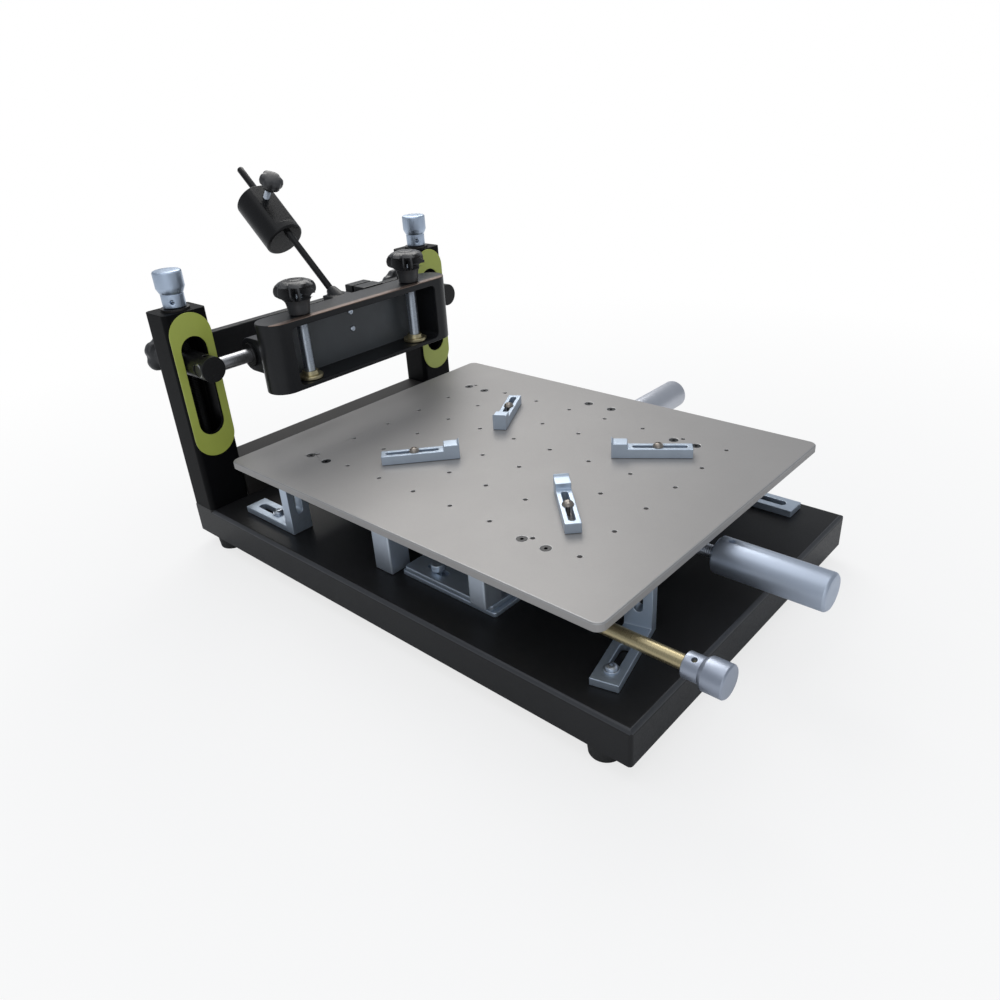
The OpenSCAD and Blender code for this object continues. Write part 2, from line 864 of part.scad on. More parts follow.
// Split block that grips the shaft and holds the clamp at its angle
module hinge_brake() {
    color("#202022")
        difference() {
            translate([brake_x0, 0, 0]) rotate([90, 0, 90]) linear_extrude(brake_w)
                union() {
                    translate([clamp_rear, shaft_z - brake_foot])
                        square([shaft_y - clamp_rear, brake_top - shaft_z + brake_foot]);
                    translate([clamp_rear, shaft_z + shaft_d / 2])
                        square([clamp_back + brake_rear, brake_top - shaft_z - shaft_d / 2]);
                    translate([shaft_y, shaft_z]) circle(r = brake_foot);
                    translate([shaft_y, shaft_z]) square([brake_rear, brake_top - shaft_z]);
                }
            translate([0, shaft_y, shaft_z])
                rod_x(shaft_d / 2 + run, brake_x0 - over, brake_x0 + brake_w + over);
            // The slit that the brake screw closes
            block([brake_x0 - over, shaft_y - brake_slit / 2, shaft_z],
                [brake_x0 + brake_w + over, shaft_y + brake_slit / 2, brake_top + over]);
            translate([brake_x0 + brake_w / 2, 0, (shaft_z + shaft_d / 2 + brake_top) / 2])
                rod_y(bolt_r, clamp_rear + web_t, shaft_y + brake_rear + over);
        }
}

// Places a piece along the balance rod, which starts at the boot
module along_rod() {
    translate([0, rod_y0, rod_z0]) rotate([rod_tilt - 90, 0, 0]) rotate(180) children();
}

// Holder behind the web with the rod's boot
module rod_holder() {
    color("#1c1c1e")
        difference() {
            union() {
                block([-holder_w / 2, clamp_rear, shaft_z + holder_low],
                    [holder_w / 2, clamp_rear + holder_d, clamp_z1 - ch]);
                along_rod() rod_z(boot_d0 / 2, -boot_l / 3, 0);
                along_rod() rotate_extrude() polygon([[0, 0], [boot_d0 / 2, 0],
                    [boot_d1 / 2, boot_l], [0, boot_l]]);
            }
            along_rod() rod_z(rod_d / 2 + run, -rod_root, boot_l + over);
            // Clears the shaft below
            translate([0, shaft_y, shaft_z])
                rod_x(shaft_d / 2 + gap, -holder_w, holder_w);
        }
}

module balance_rod() {
    color("#242426") along_rod()
        translate([0, 0, -rod_root]) turned_bar(rod_d / 2, rod_l + rod_root, ch);
}

// Counterweight: an offset cylinder with a milled flat, bored for the rod
module counterweight() {
    color("#1f1f22") along_rod() translate([0, 0, weight_at])
        difference() {
            translate([0, -weight_ecc, 0]) turned_bar(weight_d / 2, weight_l, weight_ch);
            rod_z(rod_d / 2 + run, -over, weight_l + over);
            block([-weight_d, flat_r, flat_end], [weight_d, weight_d, weight_l + over]);
            translate([0, 0, knob_at]) rod_y(weight_screw_d / 2 + nut, 0, weight_d);
        }
}

// Screw of the weight knob, ending just above the rod
module weight_screw() {
    color("#c4c6c8") along_rod() translate([0, 0, weight_at + knob_at])
        rod_y(weight_screw_d / 2, rod_d / 2 + gap, knob_r0 + knob_h / 2);
}

module weight_knob() {
    color("#19191b") along_rod() translate([0, knob_r0, weight_at + knob_at])
        rotate([-90, 0, 0])
            difference() {
                star_form(weight_knob_d, knob_h * (1 - knob_hub_share), weight_knob_d / 2,
                    weight_knob_d / 2 + ch, knob_h * knob_hub_share, lock_lobes,
                    knob_h * knob_hub_share);
                rod_z(weight_screw_d / 2 + run, -over, knob_h * knob_bore_share + run);
            }
}

// One clamp pad: a flanged cup that the screw turns in
module clamp_pad() {
    translate([0, screw_y, floor_z + gap])
        difference() {
            rotate_extrude() polygon([[0, 0], [pad_d / 2 - ch / 2, 0], [pad_d / 2, ch / 2],
                [pad_d / 2, pad_rim_t - ch / 2], [pad_d / 2 - ch / 2, pad_rim_t],
                [pad_boss_d / 2, pad_rim_t], [pad_boss_d / 2 - ch / 2, pad_boss_h],
                [0, pad_boss_h]]);
            rod_z(screw_d / 2 + nut, pad_seat_h, pad_boss_h + over);
        }
}

module clamp_pad_left() {
    color("#c9c4b4") translate([-screw_x, 0, 0]) clamp_pad();
}

module clamp_pad_right() {
    color("#c9c4b4") translate([screw_x, 0, 0]) clamp_pad();
}

// One clamp screw, from its pad up into the star knob
module clamp_screw() {
    translate([0, screw_y, screw_tip_z])
        turned_bar(screw_d / 2, star_z + star_bore_l - ch / 2 - screw_tip_z, ch / 2);
}

module clamp_screw_left() {
    color("#c4c6c8") translate([-screw_x, 0, 0]) clamp_screw();
}

module clamp_screw_right() {
    color("#c4c6c8") translate([screw_x, 0, 0]) clamp_screw();
}

module star_knob() {
    translate([0, screw_y, star_z])
        difference() {
            star_form(star_d, star_h, star_hub_d, star_hub_top_d, star_hub_h, star_lobes,
                star_h / 2);
            rod_z(screw_d / 2 + run, -over, star_bore_l);
        }
}

module star_knob_left() {
    color("#17171a") translate([-screw_x, 0, 0]) star_knob();
}

module star_knob_right() {
    color("#17171a") translate([screw_x, 0, 0]) star_knob();
}

// Lower plate fixed to the base, with the pivot and the two lock bolts
module turn_base() {
    color("#a9b4c0") {
        translate([0, pivot_y, base_top])
            soft_plate(turn_w, turn_l, turn_base_t, turn_r, plate_ch);
        translate([0, pivot_y, 0]) {
            rod_z(pivot_d / 2, base_top + turn_base_t - ch, way_z + gap);
            translate([0, 0, way_z + gap]) turned_bar(pivot_cap_d / 2, pivot_cap_h, ch / 2);
        }
        for (s = [-1, 1])
            translate([s * lock_bolt_x, lock_bolt_y, 0]) {
                rod_z(lock_bolt_d / 2, base_top + turn_base_t - ch, way_z + 2 * gap);
                translate([0, 0, way_z + gap])
                    turned_bar(lock_bolt_head_d / 2, lock_bolt_head_h, ch / 2);
            }
    }
}

// Plate that turns on the pivot, with a curved slot round each lock bolt
module turn_plate() {
    slot_r = sqrt(pow(lock_bolt_x, 2) + pow(lock_bolt_y - pivot_y, 2));
    bolt_angle = atan((lock_bolt_y - pivot_y) / lock_bolt_x);
    cut_r = lock_bolt_d / 2 + 2 * gap;
    color("#b4bfcb") translate([0, pivot_y, turn_z])
        difference() {
            soft_plate(turn_w, 2 * turn_half, turn_t, turn_r, plate_ch);
            rod_z(pivot_d / 2 + run, -over, turn_t + over);
            for (a = [bolt_angle, 180 - bolt_angle])
                rotate(a - lock_sweep_angle) translate([0, 0, -over])
                    rotate_extrude(angle = 2 * lock_sweep_angle)
                        translate([slot_r - cut_r, 0]) square([2 * cut_r, turn_t + 2 * over]);
            for (a = [bolt_angle, 180 - bolt_angle], s = [-1, 1])
                rotate(a + s * lock_sweep_angle) translate([slot_r, 0, 0])
                    rod_z(cut_r, -over, turn_t + over);
        }
}

// Two dovetail ways on the turning plate
module y_ways() {
    color("#8e959c")
        for (s = [-1, 1])
            translate([s * way_x, pivot_y + turn_half, way_z]) rotate([90, 0, 0])
                linear_extrude(2 * turn_half)
                    polygon([[-way_foot_w / 2, 0], [way_foot_w / 2, 0], [way_w / 2, way_h],
                        [-way_w / 2, way_h]]);
}

// Bearing block of the front to rear screw
module y_screw_block() {
    y0 = pivot_y - turn_half;
    color("#b0b8c0")
        difference() {
            soft_block([-block_w / 2, y0, way_z],
                [block_w / 2, y0 + block_l, drive_z + block_head], block_ch);
            translate([0, 0, drive_z])
                rod_y(drive_d / 2 + run, y0 - over, y0 + block_l + over);
        }
}

// Lug that carries the angle screw's nut
module angle_lug() {
    y0 = pivot_y - turn_half;
    color("#b0b8c0")
        difference() {
            soft_block([-angle_x - lug_w / 2, y0, way_z],
                [-angle_x + lug_w / 2, y0 + block_l, angle_z + lug_head], block_ch);
            translate([-angle_x, 0, angle_z])
                rod_y(angle_d / 2 + nut, y0 - over, y0 + block_l + over);
        }
}

// Post on the base that the angle screw pushes against
module angle_post() {
    color("#9aa3ad")
        difference() {
            soft_block([-angle_x - post_w / 2, post_y, base_top],
                [-angle_x + post_w / 2, post_y + post_l, angle_z + post_head], block_ch);
            translate([-angle_x, post_y + post_l / 2, 0])
                rod_z(bolt_r, base_top + post_head, angle_z + post_head + over);
        }
}

// Front to rear carriage: a plate on dovetail saddles, with nuts and rail bearings
module y_carriage() {
    y0 = pivot_y - carriage_front;
    y1 = pivot_y + carriage_rear;
    color("#9fa8b1")
        difference() {
            union() {
                for (s = [-1, 1]) {
                    block([s * way_x - bar_w / 2, y0, plate_z], [s * way_x + bar_w / 2, y1, plate_top]);
                    // Saddles under the plate
                    block([s * way_x - saddle_w / 2, saddle_y - saddle_l / 2, plate_z - saddle_deep],
                        [s * way_x + saddle_w / 2, saddle_y + saddle_l / 2, plate_z]);
                    // Rail bearings
                    for (y = rail_y)
                        translate([s * way_x - boss_w / 2, y, 0]) {
                            translate([0, 0, rail_z]) rod_x(boss_r, 0, boss_w);
                            block([0, -boss_r, plate_top - ch], [boss_w, boss_r, rail_z]);
                        }
                }
                for (y = [y0, y1 - tie_l])
                    block([-way_x, y, plate_z], [way_x, y + tie_l, plate_top]);
                block([-way_x, pivot_y - mid_front, plate_z],
                    [way_x, pivot_y - mid_front + mid_l, plate_top]);
                // Nut of the front to rear screw
                block([-nut_w / 2, pivot_y - nut_back, plate_top - ch],
                    [nut_w / 2, pivot_y - nut_back + nut_l, drive_z + nut_head]);
                // Nut of the cross screw
                block([x_nut_x, x_screw_y - nut_w / 2, plate_top - ch],
                    [x_nut_x + x_nut_l, x_screw_y + nut_w / 2, drive_z + nut_head]);
            }
            for (s = [-1, 1]) {
                translate([s * way_x, saddle_y + saddle_l, way_z]) rotate([90, 0, 0])
                    linear_extrude(2 * saddle_l)
                        polygon([[-way_foot_w / 2 - gap, -gap], [way_foot_w / 2 + gap, -gap],
                            [way_w / 2 + gap, way_h + gap], [-way_w / 2 - gap, way_h + gap]]);
                for (y = rail_y)
                    translate([s * way_x, y, rail_z])
                        rod_x(rail_d / 2 + run, -boss_w, boss_w);
            }
            translate([0, 0, drive_z])
                rod_y(drive_d / 2 + nut, pivot_y - mid_l, pivot_y + nut_l);
            translate([0, x_screw_y, drive_z])
                rod_x(drive_d / 2 + nut, x_nut_x - over, x_nut_x + x_nut_l + over);
        }
}

// A drive screw along Z from its free tip, with a thrust collar each side of its block
module drive_screw(l, at, wide) {
    translate([0, 0, 0]) turned_bar(drive_d / 2, l, ch / 2);
    for (z = [at - thrust_l - gap, at + wide + gap])
        rod_z(thrust_d / 2, z, z + thrust_l);
}

module y_screw() {
    y0 = pivot_y - turn_half;
    color("#c0c3c6") translate([0, y_tip, drive_z]) rotate([90, 0, 0])
        drive_screw(y_tip - y_handle_y + handle_bore_l - ch, y_tip - y0 - block_l, block_l);
}

module x_screw() {
    color("#c0c3c6") translate([x_tip, x_screw_y, drive_z]) rotate([0, 90, 0])
        drive_screw(x_handle_x - x_tip + handle_bore_l - ch, xblock_x - xblock_w / 2 - x_tip,
            xblock_w);
}

// A drive handle along Z, its bored end first, with a shallow ring near each end
module handle_form() {
    r = handle_d / 2;
    difference() {
        turned_bar(r, handle_l, handle_ch);
        rod_z(drive_d / 2 + run, -over, handle_bore_l);
        translate([0, 0, handle_bore_l / 2]) rod_y(bolt_r, 0, r + over);
    }
}

module y_handle() {
    color("#c9cccf") translate([0, y_handle_y, drive_z]) rotate([90, 0, 0]) handle_form();
}

module x_handle() {
    color("#c9cccf") translate([x_handle_x, x_screw_y, drive_z]) rotate([0, 90, 0]) handle_form();
}

// Board table with its tapped holes and countersinks
module table_plate() {
    color("#b9b6ae") translate([0, table_y, table_z])
        difference() {
            soft_plate(table_w, table_l, table_t, table_r, table_ch);
            for (cx = hole_col_shares, row = [0:hole_rows - 1])
                translate([cx * hole_pitch, (row - (hole_rows - 1) / 2) * hole_pitch, 0])
                    rod_z(hole_d / 2, -over, table_t + over);
            for (x = block_x, y = rail_y, s = [-1, 1])
                translate([x, y - table_y + s * csk_gap / 2, 0]) countersink();
            for (s = [-1, 1])
                translate([xblock_x, x_screw_y - table_y + s * csk_gap_x / 2, 0]) countersink();
        }
}

// One countersunk through hole in the table
module countersink() {
    rod_z(csk_d / 2, -over, table_t + over);
    translate([0, 0, table_t]) rotate_extrude()
        polygon([[0, -csk_deep], [csk_d / 2, -csk_deep], [head_d / 2, 0], [head_d / 2, over],
            [0, over]]);
}

// Four blocks under the table that hold the ends of the cross rails
module table_blocks() {
    color("#8f9499")
        for (x = block_x, y = rail_y)
            translate([x, y, 0])
                difference() {
                    translate([0, tblock_l / 2, rail_z - tblock_low]) rotate([90, 0, 0])
                        linear_extrude(tblock_l)
                            polygon([[-tblock_w / 2 + tblock_ch, 0], [tblock_w / 2 - tblock_ch, 0],
                                [tblock_w / 2, tblock_ch], [tblock_w / 2, tblock_low + rail_under],
                                [-tblock_w / 2, tblock_low + rail_under], [-tblock_w / 2, tblock_ch]]);
                    translate([0, 0, rail_z]) rod_x(rail_d / 2 + run / 2, -tblock_w, tblock_w);
                }
}

// Two rails across the press that the table slides on
module x_rails() {
    color("#c4c6c8")
        for (y = rail_y)
            translate([block_x[0] - tblock_w / 2, y, rail_z]) rotate([0, 90, 0])
                turned_bar(rail_d / 2, block_x[1] - block_x[0] + tblock_w, ch / 2);
}

// Bearing block of the cross screw, hung from the table
module x_screw_block() {
    color("#a9b0b7")
        difference() {
            soft_block([xblock_x - xblock_w / 2, x_screw_y - xblock_l / 2, drive_z - xblock_low],
                [xblock_x + xblock_w / 2, x_screw_y + xblock_l / 2, table_z], block_ch);
            translate([0, x_screw_y, drive_z])
                rod_x(drive_d / 2 + run, xblock_x - xblock_w, xblock_x + xblock_w);
        }
}

// A support bracket: leg at the origin, slotted foot along +X
module bracket_form() {
    tall = table_z - bracket_z;
    slot_mid = bracket_l - leg_t / 2 - foot_slot_in - foot_slot_l / 2;
    translate([0, 0, bracket_z])
        difference() {
            union() {
                block([-leg_t / 2, -bracket_w / 2, 0], [bracket_l - leg_t / 2, bracket_w / 2, bracket_t]);
                block([-leg_t / 2, -bracket_w / 2, 0], [leg_t / 2, bracket_w / 2, tall]);
            }
            translate([slot_mid, 0, -over]) linear_extrude(bracket_t + 2 * over)
                slot_2d(foot_slot_l, foot_slot_w);
            translate([-leg_t, 0, leg_slot_low + leg_slot_l / 2]) rotate([90, 90, 90])
                linear_extrude(2 * leg_t) slot_2d(leg_slot_l, leg_slot_w);
        }
}

module bracket_front_left() {
    color("#b6bec6") translate([bracket_left_x, bracket_left_y, 0])
        rotate(bracket_left_angle) bracket_form();
}

module bracket_front_right() {
    color("#b6bec6") translate([bracket_x + bracket_step, bracket_front_y - leg_t / 2, 0])
        rotate(-90) bracket_form();
}

module bracket_rear_left() {
    color("#b6bec6") translate([-bracket_x, bracket_rear_y + leg_t / 2, 0])
        rotate(90) bracket_form();
}

module bracket_rear_right() {
    color("#b6bec6") translate([bracket_x, bracket_rear_y + leg_t / 2, 0])
        rotate(90) bracket_form();
}

// Cup on the angle screw's tip, with a round nose towards the post
module angle_pad() {
    r = angle_d / 2;
    color("#c9c4b4") translate([-angle_x, 0, angle_z])
        difference() {
            union() {
                translate([0, tip_y - r, 0]) sphere(r = r);
                rod_y(r, tip_y - pad_l, tip_y - r);
            }
            rod_y(r - ch, tip_y - pad_l - over, tip_y - r);
        }
}

module angle_screw() {
    r = angle_d / 2;
    color("#b08d3e") translate([-angle_x, 0, angle_z]) {
        rod_y(r, angle_knob_y - angle_bore_l + ch, tip_y - pad_l - gap);
        rod_y(r - ch - gap, tip_y - pad_l - gap - over, tip_y - r - gap);
    }
}

// Knob of the angle screw: neck with a set screw hole, cone and head
module angle_knob() {
    neck_r = angle_neck_d / 2;
    head_r = angle_head_d / 2;
    full = angle_neck_l + angle_head_l;
    color("#c9cbcd") translate([-angle_x, angle_knob_y, angle_z]) rotate([90, 0, 0])
        difference() {
            rotate_extrude() polygon([[0, 0], [neck_r - ch, 0], [neck_r, ch],
                [neck_r, angle_neck_l - angle_cone_l], [head_r, angle_neck_l],
                [head_r, full - ch], [head_r - ch, full], [0, full]]);
            rod_z(angle_d / 2 + run, -over, angle_bore_l);
            translate([0, 0, angle_neck_l / 2]) rod_y(bolt_r, 0, neck_r + over);
        }
}

// Places a stop at its hole in the table, turned towards its hook
module at_stop(i) {
    row = i < 2 ? stop_rear_share : stop_front_share;
    side = i % 2 == 0 ? -1 : 1;
    translate([side * stop_side_share * hole_pitch, table_y + row * hole_pitch, 0])
        rotate(stop_angles[i]) children();
}

// One slotted stop bar with its hooked end
module stop_bar(i) {
    x0 = stop_screw_at - stop_l / 2;
    x1 = stop_screw_at + stop_l / 2;
    slot_x0 = x0 + stop_slot_in;
    slot_x1 = x1 - hook_l - stop_slot_in;
    color("#a9b6c4") at_stop(i) translate([0, 0, stop_z])
        difference() {
            union() {
                block([x0, -stop_w / 2, 0], [x1, stop_w / 2, stop_h]);
                translate([0, stop_w / 2, 0]) rotate([90, 0, 0]) linear_extrude(stop_w)
                    polygon([[x1 - hook_l, 0], [x1, 0], [x1, hook_h - hook_ch],
                        [x1 - hook_ch, hook_h], [x1 - hook_l, hook_h]]);
            }
            translate([(slot_x0 + slot_x1) / 2, 0, -over]) linear_extrude(stop_h + 2 * over)
                slot_2d(slot_x1 - slot_x0, stop_slot_w);
        }
}

module stop_bar_rear_left() {
    stop_bar(0);
}

module stop_bar_rear_right() {
    stop_bar(1);
}

module stop_bar_front_left() {
    stop_bar(2);
}

module stop_bar_front_right() {
    stop_bar(3);
}

// One stop screw: domed head with a driver slot, shank down into the table
module stop_screw(i) {
    head_z = stop_z + stop_h + gap;
    dome_r = (pow(stop_head_d / 2, 2) + pow(stop_head_h, 2)) / (2 * stop_head_h);
    color("#c4c6c8") at_stop(i) {
        rod_z(stop_shank_d / 2, table_z, head_z + ch / 2);
        translate([0, 0, head_z])
            difference() {
                rotate_extrude() intersection() {
                    translate([0, stop_head_h - dome_r]) circle(r = dome_r);
                    square([stop_head_d / 2, stop_head_h]);
                }
                block([-stop_head_d, -slotted_w / 2, stop_head_h - ch],
                    [stop_head_d, slotted_w / 2, stop_head_h + over]);
            }
    }
}

module stop_screw_rear_left() {
    stop_screw(0);
}

module stop_screw_rear_right() {
    stop_screw(1);
}

module stop_screw_front_left() {
    stop_screw(2);
}

module stop_screw_front_right() {
    stop_screw(3);
}

base_tray();
upright_left();
upright_right();
rear_beam();
label_plates();
rubber_feet();
lift_bushes();
turn_base();
angle_post();
turn_plate();
y_ways();
y_screw_block();
angle_lug();
y_handle();
y_screw();
y_carriage();
table_plate();
table_blocks();
x_rails();
x_screw_block();
bracket_front_left();
bracket_front_right();
bracket_rear_left();
bracket_rear_right();
x_handle();
x_screw();
angle_pad();
angle_screw();
angle_knob();
stop_bar_rear_left();
stop_bar_rear_right();
stop_bar_front_left();
stop_bar_front_right();
stop_screw_rear_left();
stop_screw_rear_right();
stop_screw_front_left();
stop_screw_front_right();
crossbar();
arm_left();
arm_right();
hinge_shaft();
lift_knob_left();
lift_knob_right();
lift_screw_left();
lift_screw_right();
lock_knob_left();
lock_knob_right();
clamp_housing();
hinge_bushes();
hinge_brake();
rod_holder();
balance_rod();
clamp_pad_left();
clamp_pad_right();
clamp_screw_left();
clamp_screw_right();
star_knob_left();
star_knob_right();
counterweight();
weight_knob();
weight_screw();
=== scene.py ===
"""Looks of the tabletop screen printing press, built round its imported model.

Lengths in this script are metres, and millimetres are written as a number times MM.
"""

import json
import math

import bpy
from mathutils import Matrix, Vector


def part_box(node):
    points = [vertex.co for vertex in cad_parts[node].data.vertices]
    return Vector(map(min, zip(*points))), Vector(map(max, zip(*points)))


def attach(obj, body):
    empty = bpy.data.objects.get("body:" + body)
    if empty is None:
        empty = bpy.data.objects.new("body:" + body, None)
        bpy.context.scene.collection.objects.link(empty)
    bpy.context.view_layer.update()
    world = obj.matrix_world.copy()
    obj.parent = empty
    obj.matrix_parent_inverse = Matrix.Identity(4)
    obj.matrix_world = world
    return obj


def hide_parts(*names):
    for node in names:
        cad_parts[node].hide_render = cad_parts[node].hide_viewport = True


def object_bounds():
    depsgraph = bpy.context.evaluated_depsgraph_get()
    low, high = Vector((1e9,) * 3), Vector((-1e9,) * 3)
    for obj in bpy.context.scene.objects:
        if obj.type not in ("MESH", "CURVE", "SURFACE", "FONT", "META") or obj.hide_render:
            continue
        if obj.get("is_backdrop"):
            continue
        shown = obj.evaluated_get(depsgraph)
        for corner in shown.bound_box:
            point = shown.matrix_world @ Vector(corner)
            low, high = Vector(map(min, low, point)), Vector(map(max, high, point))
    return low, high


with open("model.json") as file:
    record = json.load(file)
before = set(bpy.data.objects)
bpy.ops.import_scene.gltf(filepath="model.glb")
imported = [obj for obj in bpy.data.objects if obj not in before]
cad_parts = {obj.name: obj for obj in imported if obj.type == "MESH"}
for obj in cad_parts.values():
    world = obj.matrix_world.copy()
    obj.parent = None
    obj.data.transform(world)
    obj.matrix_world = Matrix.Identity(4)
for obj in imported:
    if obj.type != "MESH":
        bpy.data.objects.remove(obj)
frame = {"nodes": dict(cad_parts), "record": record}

MM = 0.001
UP, DOWN = (0, 0, 1), (0, 0, -1)
FRONT, BACK = (0, -1, 0), (0, 1, 0)
LEFT_TO_RIGHT = (1, 0, 0)
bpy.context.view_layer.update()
nodes = frame["nodes"]
slots = {s["node"]: s["material_slot"] for s in frame["record"]["subparts"]}
body_of = {
    node: body
    for body, members in frame["record"]["behaviour"]["bodies"].items()
    for node in members
}


# Camera, at the photograph's angle
EYE = Vector((-461.2, -435.5, 389.0)) * MM
EYE_RIGHT = Vector((0.661, -0.7481, -0.0583))
EYE_DOWN = Vector((-0.388, -0.2743, -0.8799))
EYE_AHEAD = Vector((0.6422, 0.6042, -0.4716))
SENSOR_WIDTH = 36
LENS = 29.15
NEAREST = 0.01


def aim_camera():
    turn = Matrix((EYE_RIGHT, -EYE_DOWN, -EYE_AHEAD)).transposed().to_quaternion()
    bpy.ops.object.camera_add(location=EYE)
    camera = bpy.context.object
    camera.rotation_mode = "QUATERNION"
    camera.rotation_quaternion = turn.normalized()
    camera.data.sensor_width = SENSOR_WIDTH
    camera.data.lens = LENS
    camera.data.clip_start = NEAREST
    bpy.context.scene.camera = camera


# Finishes
def wire(tree, out, socket, into, inlet):
    tree.links.new(out.outputs[socket], into.inputs[inlet])


def add_node(tree, kind, **values):
    node = tree.nodes.new(kind)
    for name, value in values.items():
        setattr(node, name, value)
    return node


def grain(tree, coords, scale, stretch=(1, 1, 1), detail=4.0, rough=0.6):
    """Noise in the object's own metres, stretched along an axis where the tool marks run."""
    mapping = add_node(tree, "ShaderNodeMapping")
    mapping.inputs["Scale"].default_value = [scale * s for s in stretch]
    noise = add_node(tree, "ShaderNodeTexNoise")
    noise.inputs["Scale"].default_value = 1.0
    noise.inputs["Detail"].default_value = detail
    noise.inputs["Roughness"].default_value = rough
    wire(tree, coords, "Object", mapping, "Vector")
    wire(tree, mapping, "Vector", noise, "Vector")
    return noise


def finish(name, colour, metallic, roughness, fine, bump, stretch=(1, 1, 1), mottle=0.08,
           mottle_scale=30, rough_spread=0.08, specular=0.5, lacquer=0.0):
    """A surface with a fine grain, a slow change of colour and a change of gloss."""
    material = bpy.data.materials.new(name)
    material.use_nodes = True
    tree = material.node_tree
    shader = tree.nodes["Principled BSDF"]
    shader.inputs["Metallic"].default_value = metallic
    shader.inputs["Specular IOR Level"].default_value = specular
    shader.inputs["Coat Weight"].default_value = lacquer
    shader.inputs["Coat Roughness"].default_value = 0.15
    coords = add_node(tree, "ShaderNodeTexCoord")

    slow = grain(tree, coords, mottle_scale, detail=5.0)
    ramp = add_node(tree, "ShaderNodeValToRGB")
    ramp.color_ramp.elements[0].position = 0.35
    ramp.color_ramp.elements[0].color = [c * (1 - mottle) for c in colour] + [1]
    ramp.color_ramp.elements[1].position = 0.68
    ramp.color_ramp.elements[1].color = [c * (1 + mottle) for c in colour] + [1]
    wire(tree, slow, "Fac", ramp, "Fac")
    wire(tree, ramp, "Color", shader, "Base Color")

    marks = grain(tree, coords, fine, stretch, detail=3.0)
    gloss = add_node(tree, "ShaderNodeMapRange")
    gloss.inputs["From Min"].default_value = 0.3
    gloss.inputs["From Max"].default_value = 0.7
    gloss.inputs["To Min"].default_value = max(0.03, roughness - rough_spread)
    gloss.inputs["To Max"].default_value = roughness + rough_spread
    wire(tree, marks, "Fac", gloss, "Value")
    wire(tree, gloss, "Result", shader, "Roughness")

    relief = add_node(tree, "ShaderNodeBump")
    relief.inputs["Strength"].default_value = bump
    relief.inputs["Distance"].default_value = 0.2 * MM
    wire(tree, marks, "Fac", relief, "Height")
    wire(tree, relief, "Normal", shader, "Normal")
    return material


ALONG = {"x": (1, 0.02, 0.02), "y": (0.02, 1, 0.02), "z": (0.02, 0.02, 1)}


def turned_finish(name, colour, roughness, axis):
    """Bare metal off the lathe: rings round the axis that the piece was turned on."""
    return finish(name, colour, 0.93, roughness, 4200, 0.015, ALONG[axis], mottle=0.03,
                  rough_spread=0.05)


FINISHES = {
    "black_paint": finish("powder_coat", (0.015, 0.015, 0.0158), 0.0, 0.4, 900, 0.12,
                          mottle=0.12, mottle_scale=14, rough_spread=0.06, specular=0.22),
    "black_anodised": finish("black_anodised", (0.010, 0.0105, 0.012), 0.0, 0.34, 1500, 0.05,
                             mottle=0.1, rough_spread=0.05, specular=0.3),
    "black_steel": finish("black_steel", (0.007, 0.007, 0.0075), 0.0, 0.32, 1100, 0.05,
                          specular=0.28),
    "black_plastic": finish("moulded_black", (0.042, 0.042, 0.044), 0.0, 0.36, 700, 0.0,
                            rough_spread=0.05, specular=0.45),
    "green_plate": finish("green_sheet", (0.43, 0.49, 0.09), 0.0, 0.4, 1300, 0.04,
                          mottle=0.04, lacquer=0.15),
    "rubber": finish("foot_rubber", (0.014, 0.014, 0.014), 0.0, 0.72, 800, 0.25),
    "bronze": finish("bush_bronze", (0.52, 0.36, 0.17), 1.0, 0.34, 1500, 0.1),
    "table_alu": finish("table_milled", (0.345, 0.332, 0.322), 0.3, 0.48, 1500, 0.1,
                        mottle=0.035, mottle_scale=9, rough_spread=0.06),
    "plate_alu": finish("plate_milled", (0.52, 0.60, 0.70), 0.78, 0.38, 1400, 0.1,
                        (1, 0.06, 1), mottle=0.06),
    "block_alu": finish("block_milled", (0.54, 0.60, 0.68), 0.78, 0.38, 1400, 0.1,
                        (0.06, 1, 1), mottle=0.06),
    "turned_alu": turned_finish("turned_alu_z", (0.50, 0.59, 0.72), 0.36, "z"),
    "steel": turned_finish("ground_steel_z", (0.54, 0.59, 0.66), 0.3, "z"),
    "brass_screw": turned_finish("yellow_plated_y", (0.47, 0.40, 0.24), 0.3, "y"),
}
turned_x = turned_finish("turned_alu_x", (0.58, 0.60, 0.65), 0.42, "x")
turned_y = turned_finish("turned_alu_y", (0.50, 0.56, 0.66), 0.42, "y")
# A darker copy of the turned aluminium, which paints in the shade the angle knob sits in
turned_shaded = turned_finish("turned_alu_shaded_y", (0.40, 0.44, 0.52), 0.4, "y")
steel_x = turned_finish("ground_steel_x", (0.46, 0.46, 0.47), 0.3, "x")
steel_y = turned_finish("ground_steel_y", (0.54, 0.57, 0.62), 0.3, "y")
bare_edge = finish("bare_edge", (0.42, 0.42, 0.42), 0.6, 0.36, 1500, 0.05)
pad_bronze = finish("pad_bronze", (0.5, 0.44, 0.27), 0.9, 0.34, 1500, 0.05)
# Warm painted highlight for the front band of the housing's roof
roof_highlight = finish("roof_highlight", (0.22, 0.16, 0.13), 0.7, 0.34, 1500, 0.06)
# A lighter black, painted on the tray's top folds as their highlight
fold_highlight = finish("fold_highlight", (0.045, 0.047, 0.052), 0.2, 0.36, 1300, 0.06)
# A darker copy of the powder coat with less sheen, which paints the shade on the uprights'
# sides
post_black_shaded = finish("post_paint_shaded", (0.004, 0.004, 0.0045), 0.0, 0.5, 900, 0.1,
                    mottle=0.12, mottle_scale=14, rough_spread=0.06, specular=0.08)
